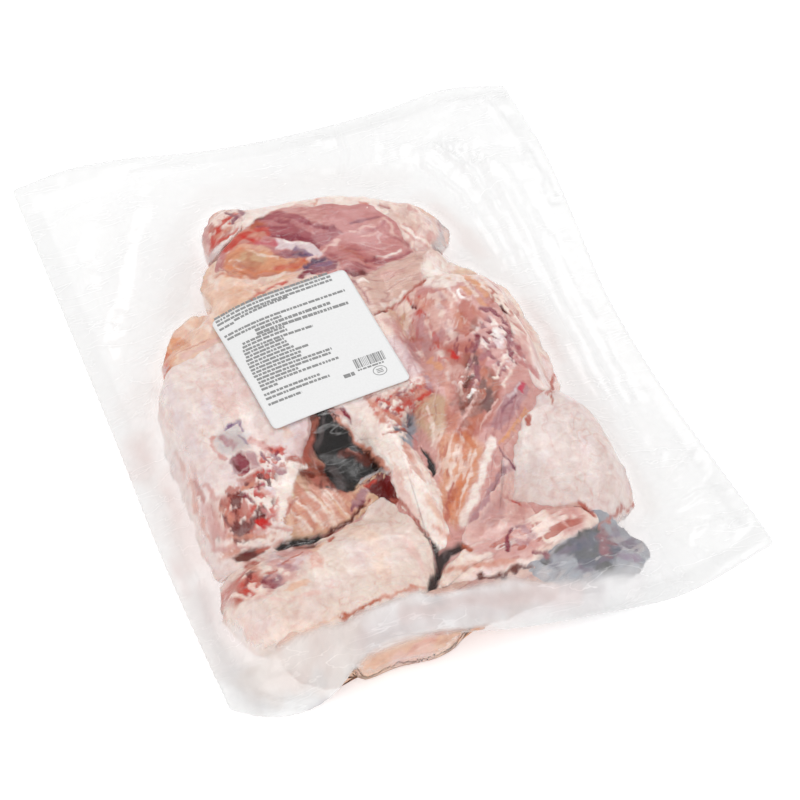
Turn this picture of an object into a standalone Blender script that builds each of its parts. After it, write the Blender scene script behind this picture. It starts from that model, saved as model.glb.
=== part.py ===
"""A flat vacuum bag of cut stewing hen, lying on its back, with a paper label on the top film.

Two films, welded all round, hold a heap of cut pieces. The bag is one closed solid: the heap with the
films drawn tight over it, and the empty welded margin as a thin wavy plate round it. The label is a
second solid that follows the top film.

Sizes are in millimetres until the meshes are written, +X runs along the bag's short side, +Y along its
long side towards the open-looking end, and +Z up. The origin is on the floor, under the bag's middle.
"""

import math

import bmesh
import bpy
import numpy as np

MM = 0.001

# Driving dimensions of the pouch.
POUCH_WIDTH = 400.0
POUCH_LENGTH = 500.0
MARGIN_THICKNESS = 1.2

# How the drawn film falls from the heap's shoulder to the margin.
SHOULDER = 14.0
SKIRT = 20.0
BLEND = 5.0

# How the film sinks in the seams between neighbouring pieces, and further away from a piece.
SEAM_SHARE = 0.18
SEAM_START = -7.0
SEAM_WIDTH = 17.0
FAR_SHARE = 0.5
FAR_WIDTH = 90.0

# How the lower film curves up from the floor to the margin.
FOOT_INSIDE = 19.0
FOOT_OUTSIDE = 3.0
WALL_LIFT = 15.0
WALL_REACH = 26.0

# Grid lines: closest along the front edge, close over the heap, wide apart over the empty margin.
FRONT_STEP = 4.4
FINE_STEP = 7.6
COARSE_STEP = 14.0
FINE_X = (-188.0, 128.0)
FINE_Y = (-224.0, 176.0)

# The welded edges at rest, as (along, outward place, height) points read in order.
FRONT_EDGE = (
    (-200, -240, 18), (-183, -244, 6), (-158, -250, 2), (-126, -246, 7), (-104, -239, 28),
    (-84, -236, 34), (-58, -239, 29), (-8, -246, 16), (60, -253, 8), (118, -257, 4), (200, -240, 3),
)
BACK_EDGE = (
    (-200, 250, 23), (-150, 255, 24), (-115, 254, 21), (-52, 247, 13), (30, 246, 4), (110, 247, 3),
    (150, 250, 4), (200, 238, 3),
)
LEFT_EDGE = ((-240, -200, 18), (-120, -202, 17), (0, -200, 17), (120, -199, 18), (250, -199, 23))
RIGHT_EDGE = (
    (-240, 200, 3), (-190, 194, 5), (-70, 185, 4), (10, 185, 4), (90, 193, 5), (175, 200, 5),
    (238, 199, 3),
)

# The pieces that raise the film: (x, y, half length, half width, turn in degrees, height).
CUTS = {
    "thigh": (-16, 104, 76, 43, -12, 57),
    "knuckle": (-66, 141, 27, 19, 35, 49),
    "shoulder": (52, 92, 32, 38, 0, 47),
    "drumstick": (-85, 72, 27, 27, 0, 50),
    "wing": (-124, 40, 33, 18, 24, 45),
    "fillet": (30, 40, 38, 27, 10, 53),
    "back_skin": (-129, -46, 43, 84, 2, 59),
    "middle": (-50, 6, 60, 62, 0, 61),
    "neck_skin": (-28, -124, 17, 72, 3, 60),
    "hip": (62, 0, 42, 42, -20, 58),
    "rib_cage": (37, -84, 97, 40, 57, 60),
    "breast": (78, -143, 42, 63, -4, 53),
    "side_meat": (-98, -121, 38, 26, 4, 52),
    "cavity_floor": (-64, -92, 22, 34, 8, 47),
    "front_skin": (-108, -185, 75, 37, 2, 57),
    "front_flap": (22, -198, 58, 24, -4, 48),
    "gizzard_side": (64, -224, 38, 19, -12, 35),
    "belly": (-80, -221, 64, 22, -3, 38),
}
CROWN_DROP = 0.14

# Outlines that close the gaps between the pieces, where one film bridges them: (x, y, half sizes, turn).
BRIDGES = {
    "lower_heap": (-34, -80, 136, 150, 0),
    "upper_heap": (-10, 74, 84, 74, 0),
    "left_side": (-129, -118, 45, 84, 0),
}
BRIDGE_BLEND = 14.0

# Hollows between the pieces, where the film sinks: (x, y, half length, half width, turn, depth).
HOLLOWS = {
    "body_cavity": (-64, -90, 18, 32, 8, 3),
    "front_gap": (-36, -206, 9, 22, -30, 8),
    "cut_gap": (-118, -152, 46, 8, 3, 7),
    "rib_gap": (-12, -112, 6, 26, 0, 6),
    "side_gap": (38, -165, 8, 20, -25, 5),
}

# The lower film hangs out under the welded edge at the front, where that edge is lifted.
SAG_MIDDLE = -76.0
SAG_HALF_LENGTH = 64.0
SAG_PUSH = 16.0
SAG_DEPTH = 30.0
SAG_LOW_RIM = 14.0
SAG_HIGH_RIM = 30.0

# Long shallow folds in the empty margin: (x, y, half length, half width, turn, height).
FOLDS = (
    (-186, -60, 120, 5, 90, 3.0), (-178, 90, 90, 6, 84, 3.2), (-150, 140, 80, 7, 62, 3.4),
    (-110, 196, 90, 8, 12, 2.6), (20, 200, 110, 8, -4, 2.2), (118, 188, 60, 6, -38, 3.0),
    (152, 130, 95, 6, 88, 3.4), (136, 20, 90, 5, 82, 3.0), (150, -80, 90, 5, 98, 3.2),
    (142, -172, 48, 4, 8, 2.6), (140, -190, 50, 4, -6, 2.6), (136, -210, 52, 4, -18, 2.4),
    (164, -206, 34, 5, 66, 3.0), (60, -246, 90, 4, -3, 2.0), (-160, -226, 36, 4, -22, 2.4),
)

# The label, and the calm patch of film that it lies on.
LABEL_WIDTH = 104.0
LABEL_LENGTH = 112.0
LABEL_THICKNESS = 0.4
LABEL_GAP = 0.45
LABEL_PLACE = (-53.5, -4.0)
LABEL_TURN = 3.7
LABEL_CORNER = 4.0
LABEL_STEP = 8.0
LABEL_HEIGHT = 62.0
LABEL_DROP = 7.0
CALM_RIM = 8.0
CALM_FADE = 14.0

BAG_COLOUR = (0.86, 0.68, 0.62, 1.0)
LABEL_COLOUR = (0.93, 0.93, 0.92, 1.0)


def clear_scene():
    for obj in list(bpy.data.objects):
        bpy.data.objects.remove(obj)


def smooth_step(value):
    """0 below 0, 1 above 1, and a smooth rise between them."""
    value = np.clip(value, 0.0, 1.0)
    return value * value * (3.0 - 2.0 * value)


def smooth_max(first, second, blend):
    """The larger of two heights, rounded where they are within blend of each other."""
    near = np.clip(blend - np.abs(first - second), 0.0, None) / blend
    return np.maximum(first, second) + near * near * blend / 4.0


def through(points, at, column):
    """A smooth curve through one column of the edge points, read at the given places along the edge."""
    along = np.array([point[0] for point in points], float)
    value = np.array([point[column] for point in points], float)
    slope = np.gradient(value, along)
    index = np.clip(np.searchsorted(along, at, side="right") - 1, 0, len(along) - 2)
    step = along[index + 1] - along[index]
    t = np.clip((at - along[index]) / step, 0.0, 1.0)
    rise = value[index + 1] - value[index]
    start, end = slope[index] * step, slope[index + 1] * step
    return value[index] + start * t + (3 * rise - 2 * start - end) * t**2 + (start + end - 2 * rise) * t**3


def local(x, y, centre_x, centre_y, turn):
    """Coordinates along and across a shape that is turned about its centre."""
    angle = math.radians(turn)
    dx, dy = x - centre_x, y - centre_y
    return (
        dx * math.cos(angle) + dy * math.sin(angle),
        dy * math.cos(angle) - dx * math.sin(angle),
    )


def outside(x, y, shape):
    """(distance from a shape's rounded outline, negative inside, and how far out from its middle, 0 to 1)."""
    centre_x, centre_y, half_length, half_width, turn = shape[:5]
    along, across = local(x, y, centre_x, centre_y, turn)
    reach = (np.abs(along / half_length) ** 2.5 + np.abs(across / half_width) ** 2.5) ** 0.4
    distance = np.hypot(along, across)
    radius = np.where(reach > 1e-6, distance / np.maximum(reach, 1e-6), min(half_length, half_width))
    return distance - radius, np.clip(reach, 0.0, 1.0)


def spot(x, y, shape):
    """A soft bump of height 1 over a turned ellipse, for folds and hollows."""
    along, across = local(x, y, shape[0], shape[1], shape[4])
    return np.exp(-((along / shape[2]) ** 2) - (across / shape[3]) ** 2)


def grid_lines(low, high, fine, first_step):
    """Places of grid lines from low to high, close together within fine."""
    runs = ((low, fine[0], first_step), (*fine, FINE_STEP), (fine[1], high, COARSE_STEP))
    lines = [
        np.linspace(start, end, max(1, round((end - start) / step)), endpoint=False)
        for start, end, step in runs
    ]
    return np.concatenate([*lines, [high]])


def heap_distance(x, y):
    """Distance from the whole heap's outline, negative inside it."""
    inward = np.full_like(x, -POUCH_LENGTH)
    for shape in list(BRIDGES.values()) + list(CUTS.values()):
        inward = smooth_max(inward, -outside(x, y, shape)[0], BRIDGE_BLEND)
    return -inward


def margin_height(x, y, flat_x, flat_y):
    """Height of the welded films where nothing lies between them."""
    s = np.clip(flat_x / POUCH_WIDTH + 0.5, 0.0, 1.0)
    t = np.clip(flat_y / POUCH_LENGTH + 0.5, 0.0, 1.0)
    front, back = through(FRONT_EDGE, x, 2), through(BACK_EDGE, x, 2)
    left, right = through(LEFT_EDGE, y, 2), through(RIGHT_EDGE, y, 2)
    corners = (
        (1 - s) * (1 - t) * FRONT_EDGE[0][2] + s * (1 - t) * FRONT_EDGE[-1][2]
        + (1 - s) * t * BACK_EDGE[0][2] + s * t * BACK_EDGE[-1][2]
    )
    edges = (1 - t) ** 2 * front + t**2 * back + (1 - s) ** 2 * left + s**2 * right
    weight = (1 - t) ** 2 + t**2 + (1 - s) ** 2 + s**2
    at_rim = (1 - t) * front + t * back + (1 - s) * left + s * right - corners
    height = 0.5 * (at_rim + edges / weight)
    height = np.where(rim_distance(flat_x, flat_y) < 1e-6, at_rim, height)
    out = np.clip(heap_distance(x, y), 0.0, None)
    inward = smooth_step(rim_distance(flat_x, flat_y) / WALL_REACH)
    height = height + WALL_LIFT * np.exp(-((out / WALL_REACH) ** 1.5)) * inward
    quiet = inward * smooth_step(out / SKIRT)
    for fold in FOLDS:
        height = height + fold[5] * spot(x, y, fold) * quiet
    return np.maximum(height, MARGIN_THICKNESS / 2)


def rim_distance(flat_x, flat_y):
    """Distance inside the cut edge of the flat pouch."""
    return np.minimum(POUCH_WIDTH / 2 - np.abs(flat_x), POUCH_LENGTH / 2 - np.abs(flat_y))


def label_place(x, y):
    """Coordinates in the label's own flat frame."""
    return local(x, y, *LABEL_PLACE, LABEL_TURN)


def calm_height(x, y):
    """The smooth saddle of film that the label lies on: level, and lower towards its back left corner."""
    along, across = label_place(x, y)
    left = np.clip((-along - 8.0) / (LABEL_WIDTH / 2), 0.0, 1.4)
    back = np.clip((across + 12.0) / (LABEL_LENGTH / 2), 0.0, 1.4)
    return LABEL_HEIGHT - LABEL_DROP * left**2 * (0.35 + back) - 1.5 * (along / LABEL_WIDTH) ** 2


def heap_height(x, y):
    """Height of the film drawn over the pieces, falling to 0 at the foot of its skirt."""
    height = np.zeros_like(x)
    for shape in CUTS.values():
        distance, reach = outside(x, y, shape)
        crown = shape[5] * (1.0 - CROWN_DROP * reach**3)
        seam = SEAM_SHARE * smooth_step((distance - SEAM_START) / SEAM_WIDTH)
        far = FAR_SHARE * np.clip(distance / FAR_WIDTH, 0.0, 1.0)
        height = smooth_max(height, crown * (1.0 - seam - far), BLEND)
    for shape in HOLLOWS.values():
        height = height - shape[5] * spot(x, y, shape)
    along, across = label_place(x, y)
    away = np.maximum(np.abs(along) - LABEL_WIDTH / 2, np.abs(across) - LABEL_LENGTH / 2)
    calm = smooth_step(1.0 - (away - CALM_RIM) / CALM_FADE)
    height = height * (1.0 - calm) + calm_height(x, y) * calm
    skirt = 1.0 - smooth_step((heap_distance(x, y) + SHOULDER) / (SHOULDER + SKIRT))
    return height * skirt


def top_film(x, y, flat_x, flat_y):
    """Height of the upper film's outer face."""
    margin = margin_height(x, y, flat_x, flat_y) + MARGIN_THICKNESS / 2
    held = smooth_step(rim_distance(flat_x, flat_y) / SHOULDER)
    raised = smooth_max(margin, heap_height(x, y), BLEND)
    return margin + (raised - margin) * held


def bottom_film(x, y, flat_x, flat_y):
    """Height of the lower film's outer face: on the floor under the heap, then up to the margin."""
    margin = margin_height(x, y, flat_x, flat_y) - MARGIN_THICKNESS / 2
    under = 1.0 - smooth_step((heap_distance(x, y) + FOOT_INSIDE) / (FOOT_INSIDE + FOOT_OUTSIDE))
    held = smooth_step(rim_distance(flat_x, flat_y) / SHOULDER)
    return margin * (1.0 - under * held)


def front_sag(flat_x, flat_y):
    """How far the lower film hangs out past its place in the flat pouch, along the lifted front edge."""
    inside = (flat_y + POUCH_LENGTH / 2) / SAG_DEPTH
    bulge = 4.0 * np.clip(inside, 0.0, 1.0) * (1.0 - smooth_step(inside))
    lifted = smooth_step((through(FRONT_EDGE, flat_x, 2) - SAG_LOW_RIM) / (SAG_HIGH_RIM - SAG_LOW_RIM))
    return SAG_PUSH * bulge * lifted * np.exp(-(((flat_x - SAG_MIDDLE) / SAG_HALF_LENGTH) ** 4))


def placed(flat_x, flat_y):
    """Where a point of the flat pouch lies once the heap has drawn its edges in."""
    s = flat_x / POUCH_WIDTH + 0.5
    t = flat_y / POUCH_LENGTH + 0.5
    front = through(FRONT_EDGE, flat_x, 1) + POUCH_LENGTH / 2
    back = through(BACK_EDGE, flat_x, 1) - POUCH_LENGTH / 2
    left = through(LEFT_EDGE, flat_y, 1) + POUCH_WIDTH / 2
    right = through(RIGHT_EDGE, flat_y, 1) - POUCH_WIDTH / 2
    x = flat_x + left * (1 - s) ** 2 + right * s**2
    y = flat_y + front * (1 - t) ** 2 + back * t**2
    return x, y


def sheet_mesh(rows, columns, top_points, bottom_points):
    """A closed mesh of two grids of points, both split into triangles alike, with a strip round the rim."""
    mesh = bmesh.new()
    top = [mesh.verts.new(point) for point in top_points]
    bottom = [mesh.verts.new(point) for point in bottom_points]

    for row in range(rows - 1):
        for column in range(columns - 1):
            a = row * columns + column
            b, c, d = a + 1, a + columns + 1, a + columns
            for corners in ((a, b, c), (a, c, d)):
                mesh.faces.new([top[i] for i in corners])
                mesh.faces.new([bottom[i] for i in reversed(corners)])

    rim = list(range(columns))
    rim += [row * columns + columns - 1 for row in range(1, rows)]
    rim += [(rows - 1) * columns + column for column in range(columns - 2, -1, -1)]
    rim += [row * columns for row in range(rows - 2, 0, -1)]
    for here, after in zip(rim, rim[1:] + rim[:1]):
        mesh.faces.new((top[here], bottom[here], bottom[after]))
        mesh.faces.new((top[here], bottom[after], top[after]))
    return mesh


def merge_flat_floor(mesh):
    """Joins the triangles that lie flat on the floor into few faces."""
    flat = [face for face in mesh.faces if all(abs(vert.co.z) < 1e-7 for vert in face.verts)]
    inner = {edge for face in flat for edge in face.edges if all(f in flat for f in edge.link_faces)}
    bmesh.ops.dissolve_edges(mesh, edges=list(inner), use_verts=False)
    loose = [vert for vert in mesh.verts if not vert.link_faces]
    bmesh.ops.delete(mesh, geom=loose, context="VERTS")
    wide = [face for face in mesh.faces if len(face.verts) > 4]
    bmesh.ops.triangulate(mesh, faces=wide, ngon_method="EAR_CLIP")


def finished_object(name, mesh, colour, roughness):
    data = bpy.data.meshes.new(name)
    mesh.to_mesh(data)
    mesh.free()
    data.shade_smooth()
    material = bpy.data.materials.new(name)
    material.use_nodes = True
    shader = material.node_tree.nodes["Principled BSDF"]
    shader.inputs["Base Color"].default_value = colour
    shader.inputs["Roughness"].default_value = roughness
    shader.inputs["Metallic"].default_value = 0.0
    data.materials.append(material)
    obj = bpy.data.objects.new(name, data)
    bpy.context.scene.collection.objects.link(obj)
    return obj


def as_points(x, y, z):
    return np.stack([x.ravel(), y.ravel(), z.ravel()], axis=1) * MM


def make_bag():
    columns_at = grid_lines(-POUCH_WIDTH / 2, POUCH_WIDTH / 2, FINE_X, COARSE_STEP)
    rows_at = grid_lines(-POUCH_LENGTH / 2, POUCH_LENGTH / 2, FINE_Y, FRONT_STEP)
    flat_x, flat_y = np.meshgrid(columns_at, rows_at)
    x, y = placed(flat_x, flat_y)
    top = top_film(x, y, flat_x, flat_y)
    bottom = bottom_film(x, y, flat_x, flat_y)

    mesh = sheet_mesh(
        len(rows_at), len(columns_at), as_points(x, y, top),
        as_points(x, y - front_sag(flat_x, flat_y), bottom),
    )
    merge_flat_floor(mesh)
    return finished_object("bag", mesh, BAG_COLOUR, 0.3)


def rounded_label_points():
    """A grid over the label whose outer rings follow its rounded corners, in the label's flat frame."""
    count_x = round(LABEL_WIDTH / LABEL_STEP)
    count_y = round(LABEL_LENGTH / LABEL_STEP)
    across, along = np.meshgrid(
        np.linspace(-LABEL_WIDTH / 2, LABEL_WIDTH / 2, count_x + 1),
        np.linspace(-LABEL_LENGTH / 2, LABEL_LENGTH / 2, count_y + 1),
    )
    corner = (np.abs(across) > LABEL_WIDTH / 2 - 1e-6) & (np.abs(along) > LABEL_LENGTH / 2 - 1e-6)
    inset = LABEL_CORNER * (1.0 - math.sqrt(0.5))
    across = across - np.sign(across) * inset * corner
    along = along - np.sign(along) * inset * corner
    return across, along


def make_label():
    across, along = rounded_label_points()
    angle = math.radians(LABEL_TURN)
    x = LABEL_PLACE[0] + across * math.cos(angle) - along * math.sin(angle)
    y = LABEL_PLACE[1] + across * math.sin(angle) + along * math.cos(angle)
    under = calm_height(x, y) + LABEL_GAP
    rows, columns = x.shape
    mesh = sheet_mesh(
        rows, columns, as_points(x, y, under + LABEL_THICKNESS), as_points(x, y, under)
    )
    return finished_object("label", mesh, LABEL_COLOUR, 0.6)


def put_origin_under(bag, others):
    """Moves everything sideways so that the origin lies under the middle of the bag."""
    places = np.array([vert.co[:2] for vert in bag.data.vertices])
    middle = (places.min(axis=0) + places.max(axis=0)) / 2
    for obj in (bag, *others):
        for vert in obj.data.vertices:
            vert.co.x -= middle[0]
            vert.co.y -= middle[1]


def main():
    clear_scene()
    bag = make_bag()
    label = make_label()
    put_origin_under(bag, [label])


main()
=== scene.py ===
"""Looks of a flat vacuum bag of cut stewing hen: clear film, the pieces under it, and a plain label.

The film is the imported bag's own surface, refined. The pieces are pressed up against it from inside: each
has an outline on the floor plan, takes its height from the film above it, and is coloured by soft strokes.
Lengths in the tables are millimetres in the bag's frame; meshes are written in metres.
"""

import math

import bmesh
import bpy
import numpy as np
from mathutils import Matrix, Vector
from mathutils.bvhtree import BVHTree
from mathutils.kdtree import KDTree

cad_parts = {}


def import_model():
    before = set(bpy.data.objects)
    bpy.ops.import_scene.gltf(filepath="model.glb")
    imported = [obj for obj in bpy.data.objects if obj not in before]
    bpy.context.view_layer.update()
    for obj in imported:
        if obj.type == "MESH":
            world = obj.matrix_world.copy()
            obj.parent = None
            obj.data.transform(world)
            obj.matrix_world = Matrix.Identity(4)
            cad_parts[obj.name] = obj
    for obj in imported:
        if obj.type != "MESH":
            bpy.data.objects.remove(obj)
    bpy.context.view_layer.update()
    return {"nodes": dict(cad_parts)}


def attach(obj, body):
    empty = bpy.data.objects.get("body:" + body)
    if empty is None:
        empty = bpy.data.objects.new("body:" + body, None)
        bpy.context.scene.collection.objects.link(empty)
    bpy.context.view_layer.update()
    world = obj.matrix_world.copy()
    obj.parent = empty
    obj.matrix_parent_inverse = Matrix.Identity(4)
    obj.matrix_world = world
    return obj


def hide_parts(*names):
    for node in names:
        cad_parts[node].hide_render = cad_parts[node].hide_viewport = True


MM = 0.001

# Camera, fitted to the pouch's corners.
CAMERA_AZIMUTH = -22.47
CAMERA_ELEVATION = 51.35
CAMERA_ROLL = 1.0
CAMERA_DISTANCE = 2046.1
CAMERA_TARGET = (6.8, -25.2, 0.0)
CAMERA_VIEW = 16.0
CAMERA_SENSOR = 36.0
CAMERA_REACH = 50.0

# Lights: name, place and aim in metres, size in metres, power in watts.
LIGHTS = [
    ("key", (0.75, 1.1, 1.7), (0.0, 0.0, 0.0), 0.9, 8.0),
    ("fill", (-1.3, -0.9, 1.5), (0.0, 0.0, 0.0), 0.9, 2.0),
    ("front", (-0.5, -1.6, 0.6), (0.0, -0.15, 0.0), 1.2, 4.5),
]
SKY_STRENGTH = 0.84

# Floor.
FLOOR_REACH = 4000.0
FLOOR_HEIGHT = -0.6
FLOOR_TONES = (0.93, 0.95)
FLOOR_GLOW = 0.32

# Film: how its mesh is refined.
WELD_DISTANCE = 0.01
FILM_SPLITS = 2
FILM_EDGE_LIMIT = 3.6
FILM_SMOOTHING = 3
FILM_FLOOR = 0.2

# Film: its haze and tint. The haze starts at a distance from the meat, and is full a distance further.
HAZE_START = 3.0
HAZE_RISE = 9.0
FREE_HAZE = 0.5
BARE_HAZE = 0.4
HAZE_LIMIT = 0.92
HAZE_TONE = 0.93
STREAK_TURN = 16.829419696157932
STREAK_SIZE = 9.0
TINT_SHARE = 0.5
TINT_BREAK_SIZE = 11.0

# Film: its rim, seams and creases.
RIM_CALM = 9.0
EDGE_SECTORS = 720
EDGE_SLACK = 2.5
SEAM_WIDTH = 16.0
SEAM_TONE = 0.94
HEAP_START = 5.0
HEAP_RISE = 9.0
CRUMPLE_SIZE = 34.0
CRUMPLE_HEIGHT = 2.6
PUCKER_SIZE = 13.0
PUCKER_HEIGHT = 1.5
PLEAT_SIZE = 21.0
PLEAT_HEIGHT = 1.3
RIDGE_LEVEL = 0.6
FOLD_WANDER = 3.0
FOLD_WANDER_SIZE = 18.0

# Pieces: spacing of the mesh, relief, and gaps. RIM_RISES lift the underside's two outermost rings.
PIECE_SPACING = 1.3
UNDER_SPACING = 4.5
UNDER_RELIEF = 1.0
UNDER_RELIEF_SIZE = 14.0
UNDER_LIFT = 5.0
RIM_RISES = (4.0, 1.2)
GROOVE = 1.5
FIBRE_RELIEF = 1.1
FIBRE_SIZE = 6.0
FIBRE_STRETCH = 2.0
PIECE_GAP = 0.5
LEVEL_STEP = 0.3
TOP_LEVEL = 5
EDGE_SHARE = 0.42
RAGGED = 7.0
RAGGED_SIZE = 12.0
FLOOR_GAP = 1.2
INSIDE_GAP = 0.35
INSIDE_PASSES = 2
NOISE_SIZE = 256

# Paint: the share of light the film adds, raggedness of patches and strokes, and weights for brightness.
VEIL = 0.04
PAINT_WARP = 5.0
HOLLOW_WARP = 3.0
WARP_SIZE = 5.0
NEAR_MARGIN = 6.0
CRUMB_SOFTNESS = 0.1
STROKE_SOFTNESS = 1.4
STROKE_BREAK_SIZE = 4.0
VEIN_PATCH_SIZE = 32.0
BRIGHTNESS = (0.25, 0.6, 0.15)

# Flesh: scale of the fibres, their bump, roughness, and share of light that passes under the surface.
FLESH = {
    "skin": ((90.0, 90.0, 90.0), 0.25, 0.38, 0.25),
    "muscle": ((60.0, 520.0, 120.0), 0.5, 0.34, 0.15),
    "organ": ((80.0, 260.0, 80.0), 0.5, 0.3, 0.05),
}

# Label: the middle of its place, its turn, its size, and how far the film stays calm around it.
LABEL_PLACE = (-53.5, -4.0)
LABEL_TURN = 3.7
LABEL_SIZE = (104.0, 112.0)
LABEL_CALM = 6.0
LABEL_FADE = 12.0
LABEL_STEP = 2.0
LABEL_CORNER = 4.0
LABEL_GAP = 0.45
LABEL_THICKNESS = 0.3
PRINT_THICKNESS = 0.06
PRINT_GAP = 0.02
PAPER_TONE = 0.83
INK_TONE = 0.3
WORD_LENGTHS = (1.2, 5.0)
WORD_GAPS = (0.5, 0.9)
BAR_WIDTHS = [0.35, 0.35, 0.7, 1.1]
BAR_GAPS = [0.35, 0.5, 0.8]
STAMP_SIDES = 32
STAMP_LINES = (-1.4, 0.0, 1.4)

# Printed lines as plain dashes: left end, right end, half height, in millimetres on the floor plan.
PRINT_ROWS = [
    ((-106, 49.6), (-18, 55.4), 1.0), ((-106, 46.2), (-17, 52.0), 1.0), ((-106, 42.8), (-17, 48.6), 1.0),
    ((-94, 40.4), (-52, 44.6), 1.0), ((-106, 38.0), (-95, 38.8), 1.0),
    ((-105, 30.2), (-12, 36.0), 1.0), ((-104, 26.8), (-62, 29.5), 1.0),
    ((-84, 24.6), (-26, 28.6), 1.25), ((-84, 21.0), (-14, 24.2), 1.25),
    ((-96, 17.4), (-64, 19.4), 1.0), ((-97, 14.2), (-63, 16.4), 1.0), ((-98, 11.0), (-45, 13.0), 1.0),
    ((-98, 7.8), (-68, 9.7), 1.0), ((-98, 4.6), (-67, 6.6), 1.0), ((-99, 1.4), (-66, 3.5), 1.0),
    ((-99, -1.8), (-64, 0.4), 1.0), ((-99, -5.0), (-54, -2.2), 1.0), ((-99, -8.2), (-61, -5.9), 1.0),
    ((-99, -11.4), (-62, -9.1), 1.0), ((-99, -14.6), (-40, -11.2), 1.0), ((-98, -17.8), (-42, -14.6), 1.0),
    ((-98, -21.0), (-68, -19.2), 1.0), ((-98, -24.2), (-38, -20.6), 1.0), ((-98, -27.4), (-86, -26.7), 1.0),
    ((-98, -32.6), (-56, -30.0), 1.0), ((-98, -36.4), (-50, -33.6), 1.0), ((-98, -41.6), (-73, -40.2), 1.0),
    ((-41, -38.4), (-33, -38.0), 1.6), ((-30, -36.6), (-10, -35.4), 0.7),
]
CODE_BARS = ((-30.2, -34.8), (-7.0, -33.6), 8.4)
STAMP = ((-15.5, -41.8), (4.6, 3.8), 0.5)

# Colours by name, as they look under the film, in display values from 0 to 255.
PALETTE = {
    "white": (246, 240, 236),
    "bone": (243, 232, 224),
    "cream": (240, 222, 211),
    "butter": (229, 213, 202),
    "dusk": (192, 126, 124),
    "putty": (216, 184, 172),
    "beige": (223, 197, 188),
    "skin": (235, 221, 215),
    "ivory": (224, 211, 206),
    "fat": (240, 226, 217),
    "lilac_skin": (226, 211, 213),
    "peach_skin": (234, 204, 184),
    "peach": (229, 188, 162),
    "apricot": (221, 164, 128),
    "orange": (212, 134, 98),
    "rust": (186, 108, 84),
    "tan": (214, 178, 150),
    "olive_tan": (201, 172, 142),
    "sand": (222, 194, 174),
    "blush": (226, 190, 182),
    "rose": (212, 164, 158),
    "pink": (200, 142, 140),
    "salmon": (210, 150, 132),
    "brick": (186, 112, 100),
    "maroon": (168, 100, 106),
    "wine": (142, 68, 80),
    "clot": (112, 44, 50),
    "red": (200, 88, 78),
    "scarlet": (202, 62, 52),
    "hot_pink": (202, 88, 106),
    "mauve": (186, 146, 150),
    "plum": (146, 98, 110),
    "purple": (140, 112, 140),
    "bruise": (104, 84, 108),
    "brown": (156, 98, 86),
    "umber": (112, 66, 58),
    "dark": (66, 46, 46),
    "black": (42, 38, 42),
    "slate": (112, 114, 124),
    "navy": (66, 68, 92),
    "steel": (160, 164, 172),
    "ash": (192, 186, 186),
    "grey": (96, 90, 90),
}

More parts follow.
